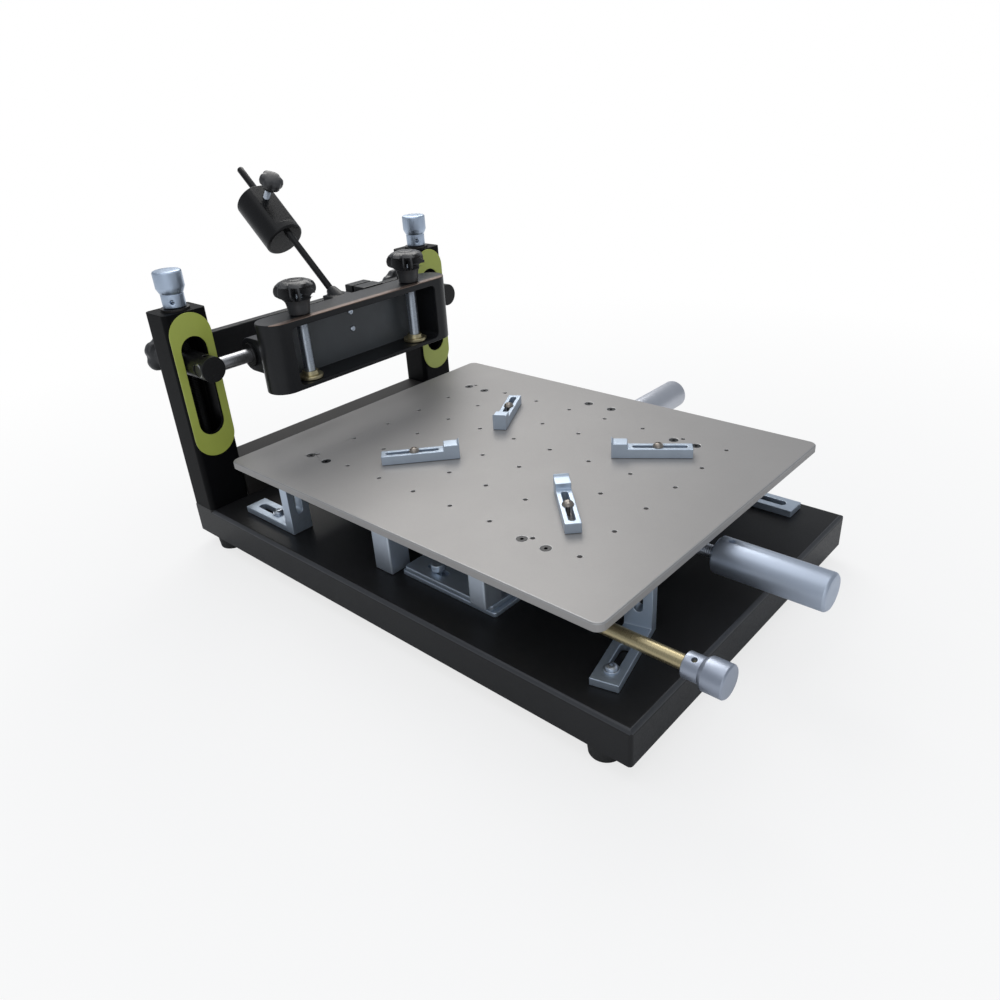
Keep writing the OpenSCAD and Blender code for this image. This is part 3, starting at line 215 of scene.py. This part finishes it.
# Black anodising painted lighter grey, as the sheen on the housing's front-facing web
web_sheen = finish("web_anodised_sheen", (0.08, 0.087, 0.093), 0.1, 0.4, 1500, 0.05, mottle=0.1)
beam_grey = finish("beam_paint", (0.03, 0.0275, 0.026), 0.0, 0.5, 900, 0.1, mottle=0.12,
                   specular=0.15)
bush_dark = finish("bush_dark", (0.05, 0.047, 0.045), 0.8, 0.36, 1500, 0.06)
stop_steel = finish("stop_screw_steel", (0.30, 0.27, 0.24), 0.9, 0.34, 1500, 0.03)
socket_black = finish("screw_black", (0.02, 0.02, 0.021), 0.6, 0.32, 1500, 0.06)


def coat(piece, *materials):
    piece.data.materials.clear()
    for material in materials:
        piece.data.materials.append(material)


# Shaping by hand
def lay_down_tools():
    if bpy.context.object and bpy.context.object.mode != "OBJECT":
        bpy.ops.object.mode_set(mode="OBJECT")
    bpy.ops.object.select_all(action="DESELECT")


def pick(piece):
    lay_down_tools()
    piece.select_set(True)
    bpy.context.view_layer.objects.active = piece


def edit(piece):
    pick(piece)
    bpy.ops.object.mode_set(mode="EDIT")
    bpy.ops.mesh.select_mode(type="VERT")
    bpy.ops.mesh.select_all(action="SELECT")


def done():
    bpy.ops.object.mode_set(mode="OBJECT")


def smooth(piece, angle=32):
    pick(piece)
    bpy.ops.object.shade_smooth_by_angle(angle=math.radians(angle))


def levelled(piece):
    """Keeps the wide faces flat in the light and lets only the broken edges turn."""
    pick(piece)
    bpy.ops.object.modifier_add(type="WEIGHTED_NORMAL")
    level = piece.modifiers[-1]
    level.mode = "FACE_AREA"
    level.weight = 100
    level.keep_sharp = True
    bpy.ops.object.modifier_apply(modifier=level.name)
    return piece


def rounded(piece, width, segments=2, angle=35, material=-1, clamp=False):
    """Breaks the sharp edges, as a file or a tumbler does."""
    pick(piece)
    bpy.ops.object.modifier_add(type="BEVEL")
    bevel = piece.modifiers[-1]
    bevel.width = width
    bevel.segments = segments
    bevel.limit_method = "ANGLE"
    bevel.angle_limit = math.radians(angle)
    bevel.use_clamp_overlap = clamp
    bevel.material = material
    bpy.ops.object.modifier_apply(modifier=bevel.name)
    return piece


def turned(name, outline, steps=64):
    """A piece turned about Z from (radius, height) pairs in millimetres, bottom first."""
    lay_down_tools()
    radius, height = outline[0]
    bpy.ops.mesh.primitive_circle_add(vertices=steps, radius=radius * MM, fill_type="NGON")
    piece = bpy.context.object
    piece.name = name
    edit(piece)
    bpy.ops.transform.translate(value=(0, 0, height * MM))
    bpy.ops.mesh.flip_normals()
    for next_radius, next_height in outline[1:]:
        rise = (0, 0, (next_height - height) * MM)
        bpy.ops.mesh.extrude_region_move(TRANSFORM_OT_translate={"value": rise})
        share = next_radius / radius
        bpy.ops.transform.resize(value=(share, share, 1),
                                 center_override=(0, 0, next_height * MM))
        radius, height = next_radius, next_height
    bpy.ops.mesh.select_all(action="SELECT")
    bpy.ops.mesh.normals_make_consistent(inside=False)
    done()
    return piece


def bored(piece, radius, depth, at, along, sides=32):
    """Cuts a round or hexagonal hole from the point at, inwards along a direction."""
    lay_down_tools()
    bpy.ops.mesh.primitive_cylinder_add(vertices=sides, radius=radius * MM, depth=depth * MM)
    drill = bpy.context.object
    centre = Vector(at) * MM + Vector(along).normalized() * depth * MM / 2
    drill.matrix_world = pointing(centre, along)
    pick(piece)
    bpy.ops.object.modifier_add(type="BOOLEAN")
    cut = piece.modifiers[-1]
    cut.operation = "DIFFERENCE"
    cut.object = drill
    cut.solver = "EXACT"
    bpy.ops.object.modifier_apply(modifier=cut.name)
    discard(drill)
    return piece


FLUTE_FADE = 0.7


def fluted(piece, lobes, per_lobe, depths, low, high):
    """Draws the rim in at each flute: depths holds the share at each step from its middle."""
    edit(piece)
    bpy.ops.mesh.select_all(action="DESELECT")
    done()
    heights = sorted({round(v.co.z, 6) for v in piece.data.vertices
                      if low * MM <= v.co.z <= high * MM})
    centre = (low + high) / 2 * MM
    reach = (high - low) / 2 * MM
    for height in heights:
        fade = 1 - ((height - centre) / reach) ** 4 * FLUTE_FADE
        for step, depth in enumerate(depths):
            done()
            for v in piece.data.vertices:
                turn = math.atan2(v.co.y, v.co.x) / math.tau * lobes * per_lobe
                place = round(turn) % per_lobe
                near = min(place, per_lobe - place)
                v.select = abs(v.co.z - height) < 1e-6 and near == step
            bpy.ops.object.mode_set(mode="EDIT")
            share = 1 - depth * fade
            bpy.ops.transform.resize(value=(share, share, 1), center_override=(0, 0, height))
    done()
    return piece


def threaded(name, radius, pitch, depth, length, steps=24):
    """A threaded bar along Z: one tooth drawn out by hand and wound with the Screw modifier."""
    turns = math.ceil(length / pitch) + 3
    lay_down_tools()
    bpy.ops.mesh.primitive_plane_add(size=1)
    bar = bpy.context.object
    bar.name = name
    edit(bar)
    bpy.ops.mesh.merge(type="CENTER")
    bpy.ops.transform.translate(value=((radius - depth) * MM, 0, 0))
    for out, up in ((depth, 0.42), (0, 0.16), (-depth, 0.42)):
        move = (out * MM, 0, up * pitch * MM)
        bpy.ops.mesh.extrude_vertices_move(TRANSFORM_OT_translate={"value": move})
    done()
    bpy.ops.object.modifier_add(type="SCREW")
    screw = bar.modifiers[-1]
    screw.axis = "Z"
    screw.screw_offset = pitch * MM
    screw.iterations = turns
    screw.steps = steps
    screw.render_steps = steps
    bpy.ops.object.modifier_apply(modifier=screw.name)
    edit(bar)
    bpy.ops.mesh.remove_doubles(threshold=0.001 * MM)
    bpy.ops.mesh.fill_holes(sides=0)
    bpy.ops.mesh.select_all(action="SELECT")
    bpy.ops.mesh.normals_make_consistent(inside=False)
    start = 1.5 * pitch
    for cut, side in ((start, -1), (start + length, 1)):
        bpy.ops.mesh.select_all(action="SELECT")
        bpy.ops.mesh.bisect(plane_co=(0, 0, cut * MM), plane_no=(0, 0, side), use_fill=True,
                            clear_outer=True)
    bpy.ops.mesh.select_all(action="SELECT")
    bpy.ops.transform.translate(value=(0, 0, -start * MM))
    bpy.ops.mesh.normals_make_consistent(inside=False)
    done()
    return bar


def discard(piece):
    pick(piece)
    bpy.ops.object.delete()


def joined(first, *others):
    pick(first)
    for piece in others:
        piece.select_set(True)
    bpy.ops.object.join()
    return bpy.context.object


def set_in(piece, place):
    """Puts a finished piece where it belongs, with its place in its mesh."""
    pick(piece)
    piece.matrix_world = place
    bpy.ops.object.transform_apply(location=True, rotation=True, scale=True)
    return piece


def copy_at(piece, name, place):
    twin = piece.copy()
    twin.data = piece.data.copy()
    twin.name = name
    bpy.context.scene.collection.objects.link(twin)
    return set_in(twin, place)


def pointing(at, direction, roll=0.0):
    """A place at a point in metres, with the piece's own Z turned to a direction."""
    turn = Vector(UP).rotation_difference(Vector(direction)).to_matrix().to_4x4()
    return Matrix.Translation(Vector(at)) @ turn @ Matrix.Rotation(math.radians(roll), 4, "Z")


def fitted(piece, node, material=None):
    """The piece stands for a node: it moves with its body and takes its finish."""
    coat(piece, material or FINISHES[slots[node]])
    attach(piece, body_of[node])
    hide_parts(node)
    return piece


def added(piece, body, material):
    coat(piece, material)
    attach(piece, body)
    return piece


def middle(node):
    low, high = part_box(node)
    return (low + high) / 2


def foot_of(node):
    """The middle of a node's underside."""
    foot = middle(node)
    foot.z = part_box(node)[0].z
    return foot


def lift_out(height):
    """In edit mode, leaves only the points above a height selected."""
    bpy.ops.mesh.select_all(action="DESELECT")
    done()
    piece = bpy.context.object
    for v in piece.data.vertices:
        v.select = v.co.z > height
    bpy.ops.object.mode_set(mode="EDIT")


def softened(node, width, material=None, edge=None, segments=2, shape=None, clamp=False):
    """A copy of a node with its doubles merged and its sharp edges broken."""
    piece = bpy.data.objects.new(node + "_dressed", nodes[node].data.copy())
    bpy.context.scene.collection.objects.link(piece)
    edit(piece)
    bpy.ops.mesh.remove_doubles(threshold=0.002 * MM)
    bpy.ops.mesh.dissolve_limited(angle_limit=math.radians(0.5))
    if shape:
        shape()
    done()
    base = material or FINISHES[slots[node]]
    coat(piece, base, edge or base)
    rounded(piece, width * MM, segments, material=1, clamp=clamp)
    smooth(piece, 50)
    levelled(piece)
    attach(piece, body_of[node])
    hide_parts(node)
    return piece


SIDES = ("left", "right")
CORNERS = ("rear_left", "rear_right", "front_left", "front_right")
# How much of a face's normal lies along an axis: facing it, nearly level, and leaning
FACING, NEARLY_LEVEL, LEANING = 0.9, 0.96, 0.3

aim_camera()

# The nodes that keep their own mesh take their finish
for name, node in nodes.items():
    coat(node, FINISHES[slots[name]])
coat(nodes["x_rails"], steel_x)
coat(nodes["hinge_shaft"], steel_x, FINISHES["black_steel"])
# The shaft is ground steel with blackened ends
for face in nodes["hinge_shaft"].data.polygons:
    face.material_index = 1 if abs(face.normal.x) > FACING else 0
coat(nodes["hinge_bushes"], FINISHES["black_steel"])
coat(nodes["lift_bushes"], bush_dark)
for corner in CORNERS:
    coat(nodes[f"stop_screw_{corner}"], stop_steel)
coat(nodes["clamp_pad_left"], pad_bronze)
coat(nodes["clamp_pad_right"], pad_bronze)

# Sheet, plates and milled blocks, with their edges broken
EDGES = {
    "label_plates": 0.2, "rubber_feet": 0.8, "crossbar": 0.8,
    "turn_base": 0.4, "turn_plate": 0.35, "y_ways": 0.3, "y_screw_block": 0.5,
    "angle_lug": 0.5, "angle_post": 0.5, "table_blocks": 0.4, "x_screw_block": 0.5,
    "bracket_front_left": 0.6, "bracket_front_right": 0.6, "bracket_rear_left": 0.6,
    "bracket_rear_right": 0.6, "hinge_brake": 0.8, "rod_holder": 0.8,
    "y_carriage": 0.4, "counterweight": 0.5,
}
for name, width in EDGES.items():
    softened(name, width)
softened("table_plate", 0.3, edge=bare_edge)
softened("rear_beam", 0.2, beam_grey)
# The uprights take the darker, shaded copy of the powder coat
for side in SIDES:
    softened(f"upright_{side}", 0.5, post_black_shaded)

# The tray's folds along its top carry a painted highlight
tray = softened("base_tray", 0.4, clamp=True)
coat(tray, FINISHES["black_paint"], fold_highlight)
FOLD = 4 * MM
tray_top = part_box("base_tray")[1].z
for face in tray.data.polygons:
    on_fold = face.center.z > tray_top - FOLD and LEANING < face.normal.z < NEARLY_LEVEL
    face.material_index = 1 if on_fold else 0

# The arms' noses end just in front of the hinge shaft
NOSE = 2.5 * MM


def shorten_nose():
    bpy.ops.mesh.bisect(plane_co=(0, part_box("hinge_shaft")[0].y - NOSE, 0),
                        plane_no=FRONT, use_fill=True, clear_outer=True)


for side in SIDES:
    softened(f"arm_{side}", 0.4, shape=shorten_nose)

# The stops' hooks rise only a little above their bars
HOOK_DROP, TOP_BAND = 3.5 * MM, 0.5 * MM
hook_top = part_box("stop_bar_rear_left")[1].z - TOP_BAND


def lower_hook():
    lift_out(hook_top)
    bpy.ops.transform.translate(value=(0, 0, -HOOK_DROP))


for corner in CORNERS:
    softened(f"stop_bar_{corner}", 0.5, shape=lower_hook)

# The roof of the housing has a warm painted highlight along its front, and its front-facing web
# is painted lighter grey for the sheen it catches
housing = softened("clamp_housing", 0.7, segments=3)
coat(housing, FINISHES["black_anodised"], roof_highlight, web_sheen)
HIGHLIGHT_BAND = 6 * MM
WEB_IN, WEB_SLACK = 28 * MM, 0.1 * MM
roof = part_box("clamp_housing")[1].z
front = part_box("clamp_housing")[0].y
web = front + WEB_IN
edit(housing)
# The painted highlight covers the roof from its front up to this cut
bpy.ops.mesh.bisect(plane_co=(0, front + HIGHLIGHT_BAND, 0), plane_no=BACK)
done()
for face in housing.data.polygons:
    on_roof = face.center.z > roof - MM and face.center.y < front + HIGHLIGHT_BAND
    # The front-facing web takes the painted sheen
    on_web = abs(face.center.y - web) < WEB_SLACK and face.normal.y < -FACING
    face.material_index = 1 if on_roof else 2 if on_web else 0

# Star knobs: a mushroom head with seven flutes on a tapered hub
star = turned("star_knob_moulding", [
    (8.4, 0), (9.2, 0.5), (9.6, 4), (10.1, 8), (10.7, 10.6), (12, 12.6), (14.2, 14),
    (16.5, 14.9), (18.2, 16.2), (18.9, 18.2), (19, 20.4), (18.4, 22.6), (16.9, 24.8),
    (14.2, 26.8), (10.8, 28.2), (6.8, 28.9), (6.4, 28.6), (6, 28.9), (2, 29)], steps=70)
fluted(star, 7, 10, (0.15, 0.135, 0.085, 0.03, 0.005), 13.5, 26)
smooth(star, 50)
for side in SIDES:
    node = f"star_knob_{side}"
    knob = copy_at(star, f"{node}_moulding", pointing(foot_of(node), UP, roll=12))
    fitted(knob, node)
discard(star)

# Lock knobs behind the crossbar, and the knob of the counterweight
lock = turned("lock_knob_moulding", [
    (9.6, 0), (10.4, 0.6), (10.8, 3.2), (12.6, 4.6), (15.8, 5.2), (17.4, 6.2), (18, 7.8),
    (18, 11), (17.4, 12.8), (15.6, 14), (12.4, 14.6), (6, 14.9), (5.6, 14.5), (2, 14.4)],
    steps=72)
fluted(lock, 6, 12, (0.16, 0.14, 0.09, 0.04, 0.01), 4.8, 14)
stud = threaded("lock_stud", 2.55, 0.8, 0.35, 9)
set_in(stud, Matrix.Translation((0, 0, -8.6 * MM)))
lock = joined(lock, stud)
smooth(lock, 50)
LOCK_L = 15 * MM
for side in SIDES:
    node = f"lock_knob_{side}"
    foot = middle(node)
    foot.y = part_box(node)[1].y - LOCK_L
    knob = copy_at(lock, f"{node}_moulding", pointing(foot, BACK))
    fitted(knob, node)
discard(lock)

# Lift knobs: a neck with a set screw, a cone and a plain head
lift = turned("lift_knob_turned", [
    (8.9, 0), (9.5, 0.6), (9.5, 10.8), (9.3, 11.1), (9.3, 11.6), (9.8, 12.1),
    (11.7, 16.2), (11.9, 17), (11.9, 29), (11.2, 30.1), (10.4, 30.4), (4, 30.3)])
bored(lift, 1.9, 6, (0, -10.5, 5.5), BACK)
rounded(lift, 0.25 * MM)
smooth(lift)
for side in SIDES:
    node = f"lift_knob_{side}"
    knob = copy_at(lift, f"{node}_turned", pointing(foot_of(node), UP, roll=-35))
    fitted(knob, node)
discard(lift)

# Drive handles: long plain bars with a ring at the bored end
handle = turned("drive_handle_turned", [
    (11.6, 0), (12.6, 0.2), (13.9, 1.6), (14, 2.2), (14, 80.6), (13.8, 81.4), (12.4, 82.8),
    (11.4, 83), (3, 82.9)])
bored(handle, 2.2, 6, (0, 14.5, 10), FRONT)
rounded(handle, 0.25 * MM)
smooth(handle)
x_foot = middle("x_handle")
x_foot.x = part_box("x_handle")[0].x
y_foot = middle("y_handle")
y_foot.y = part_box("y_handle")[1].y
x_handle = copy_at(handle, "x_handle_turned", pointing(x_foot, LEFT_TO_RIGHT))
y_handle = copy_at(handle, "y_handle_turned", pointing(y_foot, FRONT))
fitted(x_handle, "x_handle", turned_x)
fitted(y_handle, "y_handle", turned_y)
discard(handle)

# Angle knob, smaller than the lift knobs, on its yellow threaded bar
angle_foot = middle("angle_knob")
angle_foot.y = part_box("angle_knob")[1].y
angle = turned("angle_knob_turned", [
    (7.8, 0), (8.5, 0.6), (8.5, 11), (8.9, 11.6), (10.8, 14), (11, 14.6), (11, 26.8),
    (10.3, 27.8), (9.6, 28), (3, 27.9)])
bored(angle, 1.8, 5, (0, 9.3, 6.5), FRONT)
rounded(angle, 0.25 * MM)
smooth(angle)
set_in(angle, pointing(angle_foot, FRONT, roll=20))
# The angle knob takes the shaded copy of the turned aluminium
fitted(angle, "angle_knob", turned_shaded)

low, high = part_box("angle_screw")
centre = middle("angle_screw")
TIP_BARE, TIP_L = 10, 10.2
span = (high.y - low.y) / MM
bar = threaded("angle_screw_threaded", 4.98, 0.8, 0.05, span - TIP_BARE)
tip = turned("angle_screw_tip", [(3.6, 0), (3.7, TIP_L - 0.3), (3.3, TIP_L)], steps=40)
set_in(tip, Matrix.Translation((0, 0, (span - TIP_L) * MM)))
bar = joined(bar, tip)
smooth(bar, 30)
set_in(bar, pointing((centre.x, low.y, centre.z), BACK))
fitted(bar, "angle_screw")


# Threaded bars with collars
SCREW_R, COARSE, COARSE_DEEP = 4.95, 1.5, 0.69
CLAMP_R, FINE, FINE_DEEP = 4.9, 1, 0.22
COLLAR_GAP, COLLAR_L = 0.3, 5.5
ROOF_T, LIFT_COLLAR_L, LIFT_COLLAR_R = 3, 5, 8
DRIVE_COLLAR_R = 9
COLLAR_EDGE = 0.5
Y_BLOCK_L, X_BLOCK_L = 16, 20


def collared(node, radius, pitch, depth, along, collars=(), collar_radius=0, material=None):
    """A threaded bar that fills a node's length; collars are (start, end) from its low end."""
    low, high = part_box(node)
    centre = (low + high) / 2
    axis = Vector(along)
    span = (high - low).dot(Vector([abs(a) for a in along])) / MM
    start = centre - axis * span / 2 * MM
    bar = threaded(f"{node}_threaded", radius, pitch, depth, span)
    rings = []
    for number, (a, b) in enumerate(collars):
        rings.append(turned(f"{node}_collar_{number}", [
            (collar_radius - COLLAR_EDGE, a), (collar_radius, a + COLLAR_EDGE),
            (collar_radius, b - COLLAR_EDGE), (collar_radius - COLLAR_EDGE, b)], steps=48))
    if rings:
        bar = joined(bar, *rings)
    smooth(bar, 30)
    set_in(bar, pointing(start, along))
    return fitted(bar, node, material)


for side in SIDES:
    node = f"lift_screw_{side}"
    roof_under = (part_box(f"upright_{side}")[1].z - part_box(node)[0].z) / MM - ROOF_T
    collar = (roof_under - COLLAR_GAP - LIFT_COLLAR_L, roof_under - COLLAR_GAP)
    collared(node, SCREW_R, COARSE, COARSE_DEEP, UP, [collar], LIFT_COLLAR_R,
             FINISHES["black_steel"])
    collared(f"clamp_screw_{side}", CLAMP_R, FINE, FINE_DEEP, UP)


def beside(near, block_l):
    """The two collars that hold a screw at a block: near is the block's start on the bar."""
    far = near + block_l
    return [(near - COLLAR_GAP - COLLAR_L, near - COLLAR_GAP),
            (far + COLLAR_GAP, far + COLLAR_GAP + COLLAR_L)]


y_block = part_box("y_screw_block")
y_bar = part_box("y_screw")
near = (y_bar[1].y - y_block[1].y) / MM
collared("y_screw", SCREW_R, COARSE, COARSE_DEEP, FRONT, beside(near, Y_BLOCK_L),
         DRIVE_COLLAR_R, steel_y)
x_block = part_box("x_screw_block")
x_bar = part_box("x_screw")
near = (x_block[0].x - x_bar[0].x) / MM
collared("x_screw", SCREW_R, COARSE, COARSE_DEEP, LEFT_TO_RIGHT, beside(near, X_BLOCK_L),
         DRIVE_COLLAR_R, steel_x)

# Balance rod, counterweight knob and its screw
ROD_SLOPE = math.radians(41.5)
rod_way = Vector((0, math.cos(ROD_SLOPE), math.sin(ROD_SLOPE)))
rod_up = Vector((0, -math.sin(ROD_SLOPE), math.cos(ROD_SLOPE)))
rod_start = Vector((0, 189, 205)) * MM
rod = turned("balance_rod_turned", [
    (2.6, -9), (3.2, -8), (3.2, 160), (3.2, 166.6), (2.6, 167.6), (1.4, 168)], steps=40)
smooth(rod)
set_in(rod, pointing(rod_start, rod_way))
fitted(rod, "balance_rod")

small = turned("weight_knob_moulding", [
    (5.2, 0), (5.6, 0.4), (6.2, 3.2), (8.4, 4.2), (10.2, 5.2), (10.9, 6.8), (11, 10),
    (10.4, 12), (8.6, 13.4), (5.6, 14), (2, 14.2)], steps=72)
fluted(small, 6, 12, (0.15, 0.13, 0.085, 0.035, 0.01), 4, 13.6)
smooth(small, 50)
SCREW_ALONG, KNOB_UP, PIN_UP = 124 * MM, 17 * MM, 3.6 * MM
lock_at = rod_start + rod_way * SCREW_ALONG
set_in(small, pointing(lock_at + rod_up * KNOB_UP, rod_up))
fitted(small, "weight_knob")
pin = threaded("weight_screw_threaded", 2.95, 1.0, 0.45, 20)
smooth(pin, 30)
set_in(pin, pointing(lock_at + rod_up * PIN_UP, rod_up))
fitted(pin, "weight_screw")


# Small screws
def socket_head(name, radius, height, hex_radius, hex_depth, shank=2.0, under=2.0):
    """A cap screw standing on Z = 0 with a hexagonal socket and a short shank below."""
    screw = turned(name, [
        (shank, -under), (shank, 0), (radius - 0.2, 0.01), (radius, 0.3),
        (radius, height - 0.5), (radius - 0.5, height)], steps=40)
    bored(screw, hex_radius, hex_depth + 1, (0, 0, height + 1), DOWN, sides=6)
    smooth(screw)
    return screw


def set_of(master, name, places, body, material):
    """Copies one screw to its places and makes them one piece."""
    copies = [copy_at(master, f"{name}_{i}", place) for i, place in enumerate(places)]
    discard(master)
    screws = joined(*copies) if len(copies) > 1 else copies[0]
    screws.name = name
    return added(screws, body, material)


# The table's screws go in pairs into the four blocks, and into the cross screw's block
BLOCK_X = (-105, 94)
RAIL_Y = (-129, 109)
RAIL_SCREW_OUT = 10.5
CROSS_X, CROSS_Y, CROSS_SCREW_OUT = 122, -23, 12.75
table_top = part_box("table_plate")[1].z
sunk = turned("table_screw", [(1.9, -8), (1.9, -2.75), (4.05, -0.35), (4.05, -0.2)], steps=40)
bored(sunk, 1.45, 2, (0, 0, 0.5), DOWN, sides=6)
smooth(sunk)
spots = [(x, y + s * RAIL_SCREW_OUT) for x in BLOCK_X for y in RAIL_Y for s in (-1, 1)]
spots += [(CROSS_X, CROSS_Y + s * CROSS_SCREW_OUT) for s in (-1, 1)]
set_of(sunk, "table_screws",
       [pointing((x * MM, y * MM, table_top), UP, roll=17 * i)
        for i, (x, y) in enumerate(spots)],
       "table", socket_black)

WEB_SCREW_Z = (195.5, 179.5)
button = socket_head("web_screw", 2.6, 1.3, 1.1, 0.8, shank=1.4, under=1.2)
set_of(button, "web_screws",
       [pointing((0, web, z * MM), FRONT, roll=10) for z in WEB_SCREW_Z],
       "clamp", FINISHES["steel"])


# Screws with washers at the brackets: one through the foot's slot and one on the leg
def washered(name):
    screw = turned(name, [
        (1.9, -3), (1.9, 0), (5.1, 0.01), (5.3, 0.2), (5.3, 0.9), (5.1, 1.1), (4, 1.11),
        (4.1, 1.3), (3.9, 2.7), (3.1, 3.5), (2, 3.8)], steps=40)
    bored(screw, 1.4, 2.4, (0, 0, 5), DOWN, sides=6)
    smooth(screw)
    return screw


# Each bracket's place in millimetres, its foot's direction in degrees, and its screw's way out
BRACKETS = (
    ((-74, -195), 193.4, 54),
    ((138.5, -145), -90, 30),
    ((-131, 117), 90, 30),
    ((131, 117), 90, 54),
)
FOOT_TOP, LEG_FACE, LEG_SCREW = 6, 5, 39
bracket_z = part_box("bracket_rear_left")[0].z / MM
foot_screw = washered("foot_screw")
leg_screw = washered("leg_screw")
foot_places = []
leg_places = []
for (x, y), turn, foot_out in BRACKETS:
    leg = Matrix.Translation(Vector((x, y, bracket_z)) * MM)
    stand = leg @ Matrix.Rotation(math.radians(turn), 4, "Z")
    foot_places.append(stand @ pointing(Vector((foot_out, 0, FOOT_TOP)) * MM, UP, roll=20))
    leg_side = Vector((LEG_FACE, 0, LEG_SCREW)) * MM
    leg_places.append(stand @ pointing(leg_side, LEFT_TO_RIGHT, roll=20))
bracket_body = body_of["bracket_front_left"]
set_of(foot_screw, "foot_screws", foot_places, bracket_body, FINISHES["steel"])
set_of(leg_screw, "leg_screws", leg_places, bracket_body, FINISHES["steel"])

# Flanges inside the rear beam's ends, screwed to the uprights
beam_low, beam_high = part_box("rear_beam")
FLANGE_T, FLANGE_L, BEAM_WALL = 1.6 * MM, 20 * MM, 2.2 * MM
SCREW_BACK, SCREW_RISE = 2 * MM, 9 * MM
flange_y = beam_low.y + BEAM_WALL + FLANGE_L / 2
flange_h = beam_high.z - beam_low.z - 2 * BEAM_WALL
beam_mid = (beam_low.z + beam_high.z) / 2
flanges = []
screw_places = []
for end, inward in ((beam_low.x, 1), (beam_high.x, -1)):
    lay_down_tools()
    centre = (end + inward * FLANGE_T / 2, flange_y, beam_mid)
    bpy.ops.mesh.primitive_cube_add(size=1, location=centre)
    plate = bpy.context.object
    plate.scale = (FLANGE_T, FLANGE_L, flange_h)
    bpy.ops.object.transform_apply(location=True, rotation=False, scale=True)
    flanges.append(rounded(plate, 0.4 * MM))
    for rise in (-SCREW_RISE, SCREW_RISE):
        at = Vector((end + inward * FLANGE_T, flange_y + SCREW_BACK, beam_mid + rise))
        screw_places.append(pointing(at, (inward, 0, 0), roll=15))
flange_pair = joined(*flanges)
flange_pair.name = "beam_flanges"
smooth(flange_pair)
added(flange_pair, body_of["rear_beam"], beam_grey)
set_of(washered("beam_screw"), "beam_screws", screw_places, body_of["rear_beam"],
       socket_black)


# Light, floor and backdrop
FLOOR_GREY = 0.86
# From 0.35 m to 0.9 m out, the share of plain white in the floor goes from 0.75 to 1
FLOOR_FADE = (0.35, 0.9, 0.75, 1.0)
ROOM_LIGHT = 0.42
# Each lamp's name, place, size, power and colour
LAMPS = (
    ("window", (0.9, 1.1, 1.5), 1.2, 16, (1.0, 0.98, 0.95)),
    ("ceiling", (-0.2, 0.1, 2.2), 2.4, 14, (0.97, 0.98, 1.0)),
    ("fill", (-1.5, -1.2, 0.9), 1.6, 6, (0.94, 0.97, 1.0)),
)
LAMP_TARGET = Vector((0, 0, 0.08))


def floor_and_shadow():
    """A pale floor that keeps its shadow near the press and fades to white further out."""
    lay_down_tools()
    bpy.ops.mesh.primitive_plane_add(size=12, location=(0, 0, 0))
    floor = bpy.context.object
    floor.name = "studio_floor"
    material = bpy.data.materials.new("studio_floor")
    material.use_nodes = True
    tree = material.node_tree
    shader = tree.nodes["Principled BSDF"]
    shader.inputs["Base Color"].default_value = (FLOOR_GREY, FLOOR_GREY, FLOOR_GREY, 1)
    shader.inputs["Roughness"].default_value = 0.9
    glow = add_node(tree, "ShaderNodeEmission")
    glow.inputs["Strength"].default_value = 1.0
    path = add_node(tree, "ShaderNodeLightPath")
    coords = add_node(tree, "ShaderNodeTexCoord")
    reach = add_node(tree, "ShaderNodeVectorMath", operation="LENGTH")
    fade = add_node(tree, "ShaderNodeMapRange")
    for inlet, value in zip(("From Min", "From Max", "To Min", "To Max"), FLOOR_FADE):
        fade.inputs[inlet].default_value = value
    share = add_node(tree, "ShaderNodeMath", operation="MULTIPLY")
    mix = add_node(tree, "ShaderNodeMixShader")
    wire(tree, coords, "Object", reach, 0)
    wire(tree, reach, "Value", fade, "Value")
    wire(tree, fade, "Result", share, 0)
    wire(tree, path, "Is Camera Ray", share, 1)
    wire(tree, share, "Value", mix, 0)
    wire(tree, shader, "BSDF", mix, 1)
    wire(tree, glow, "Emission", mix, 2)
    wire(tree, mix, "Shader", tree.nodes["Material Output"], "Surface")
    floor.data.materials.append(material)
    floor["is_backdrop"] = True


def white_room():
    """Soft light from all round, and plain white behind the press."""
    world = bpy.data.worlds.new("studio_world")
    bpy.context.scene.world = world
    world.use_nodes = True
    tree = world.node_tree
    light = tree.nodes["Background"]
    light.inputs["Color"].default_value = (0.88, 0.93, 1.0, 1)
    light.inputs["Strength"].default_value = ROOM_LIGHT
    white = add_node(tree, "ShaderNodeBackground")
    white.inputs["Color"].default_value = (1, 1, 1, 1)
    white.inputs["Strength"].default_value = 1.0
    path = add_node(tree, "ShaderNodeLightPath")
    mix = add_node(tree, "ShaderNodeMixShader")
    wire(tree, path, "Is Camera Ray", mix, 0)
    wire(tree, light, "Background", mix, 1)
    wire(tree, white, "Background", mix, 2)
    wire(tree, mix, "Shader", tree.nodes["World Output"], "Surface")


def lamps():
    for name, at, size, power, colour in LAMPS:
        bpy.ops.object.light_add(type="AREA", location=at)
        lamp = bpy.context.object
        lamp.name = f"{name}_light"
        lamp.data.size = size
        lamp.data.energy = power
        lamp.data.color = colour
        aim = LAMP_TARGET - Vector(at)
        lamp.rotation_mode = "QUATERNION"
        lamp.rotation_quaternion = aim.to_track_quat("-Z", "Y")


floor_and_shadow()
white_room()
lamps()
bpy.context.scene.view_settings.view_transform = "Standard"
lay_down_tools()

low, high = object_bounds()
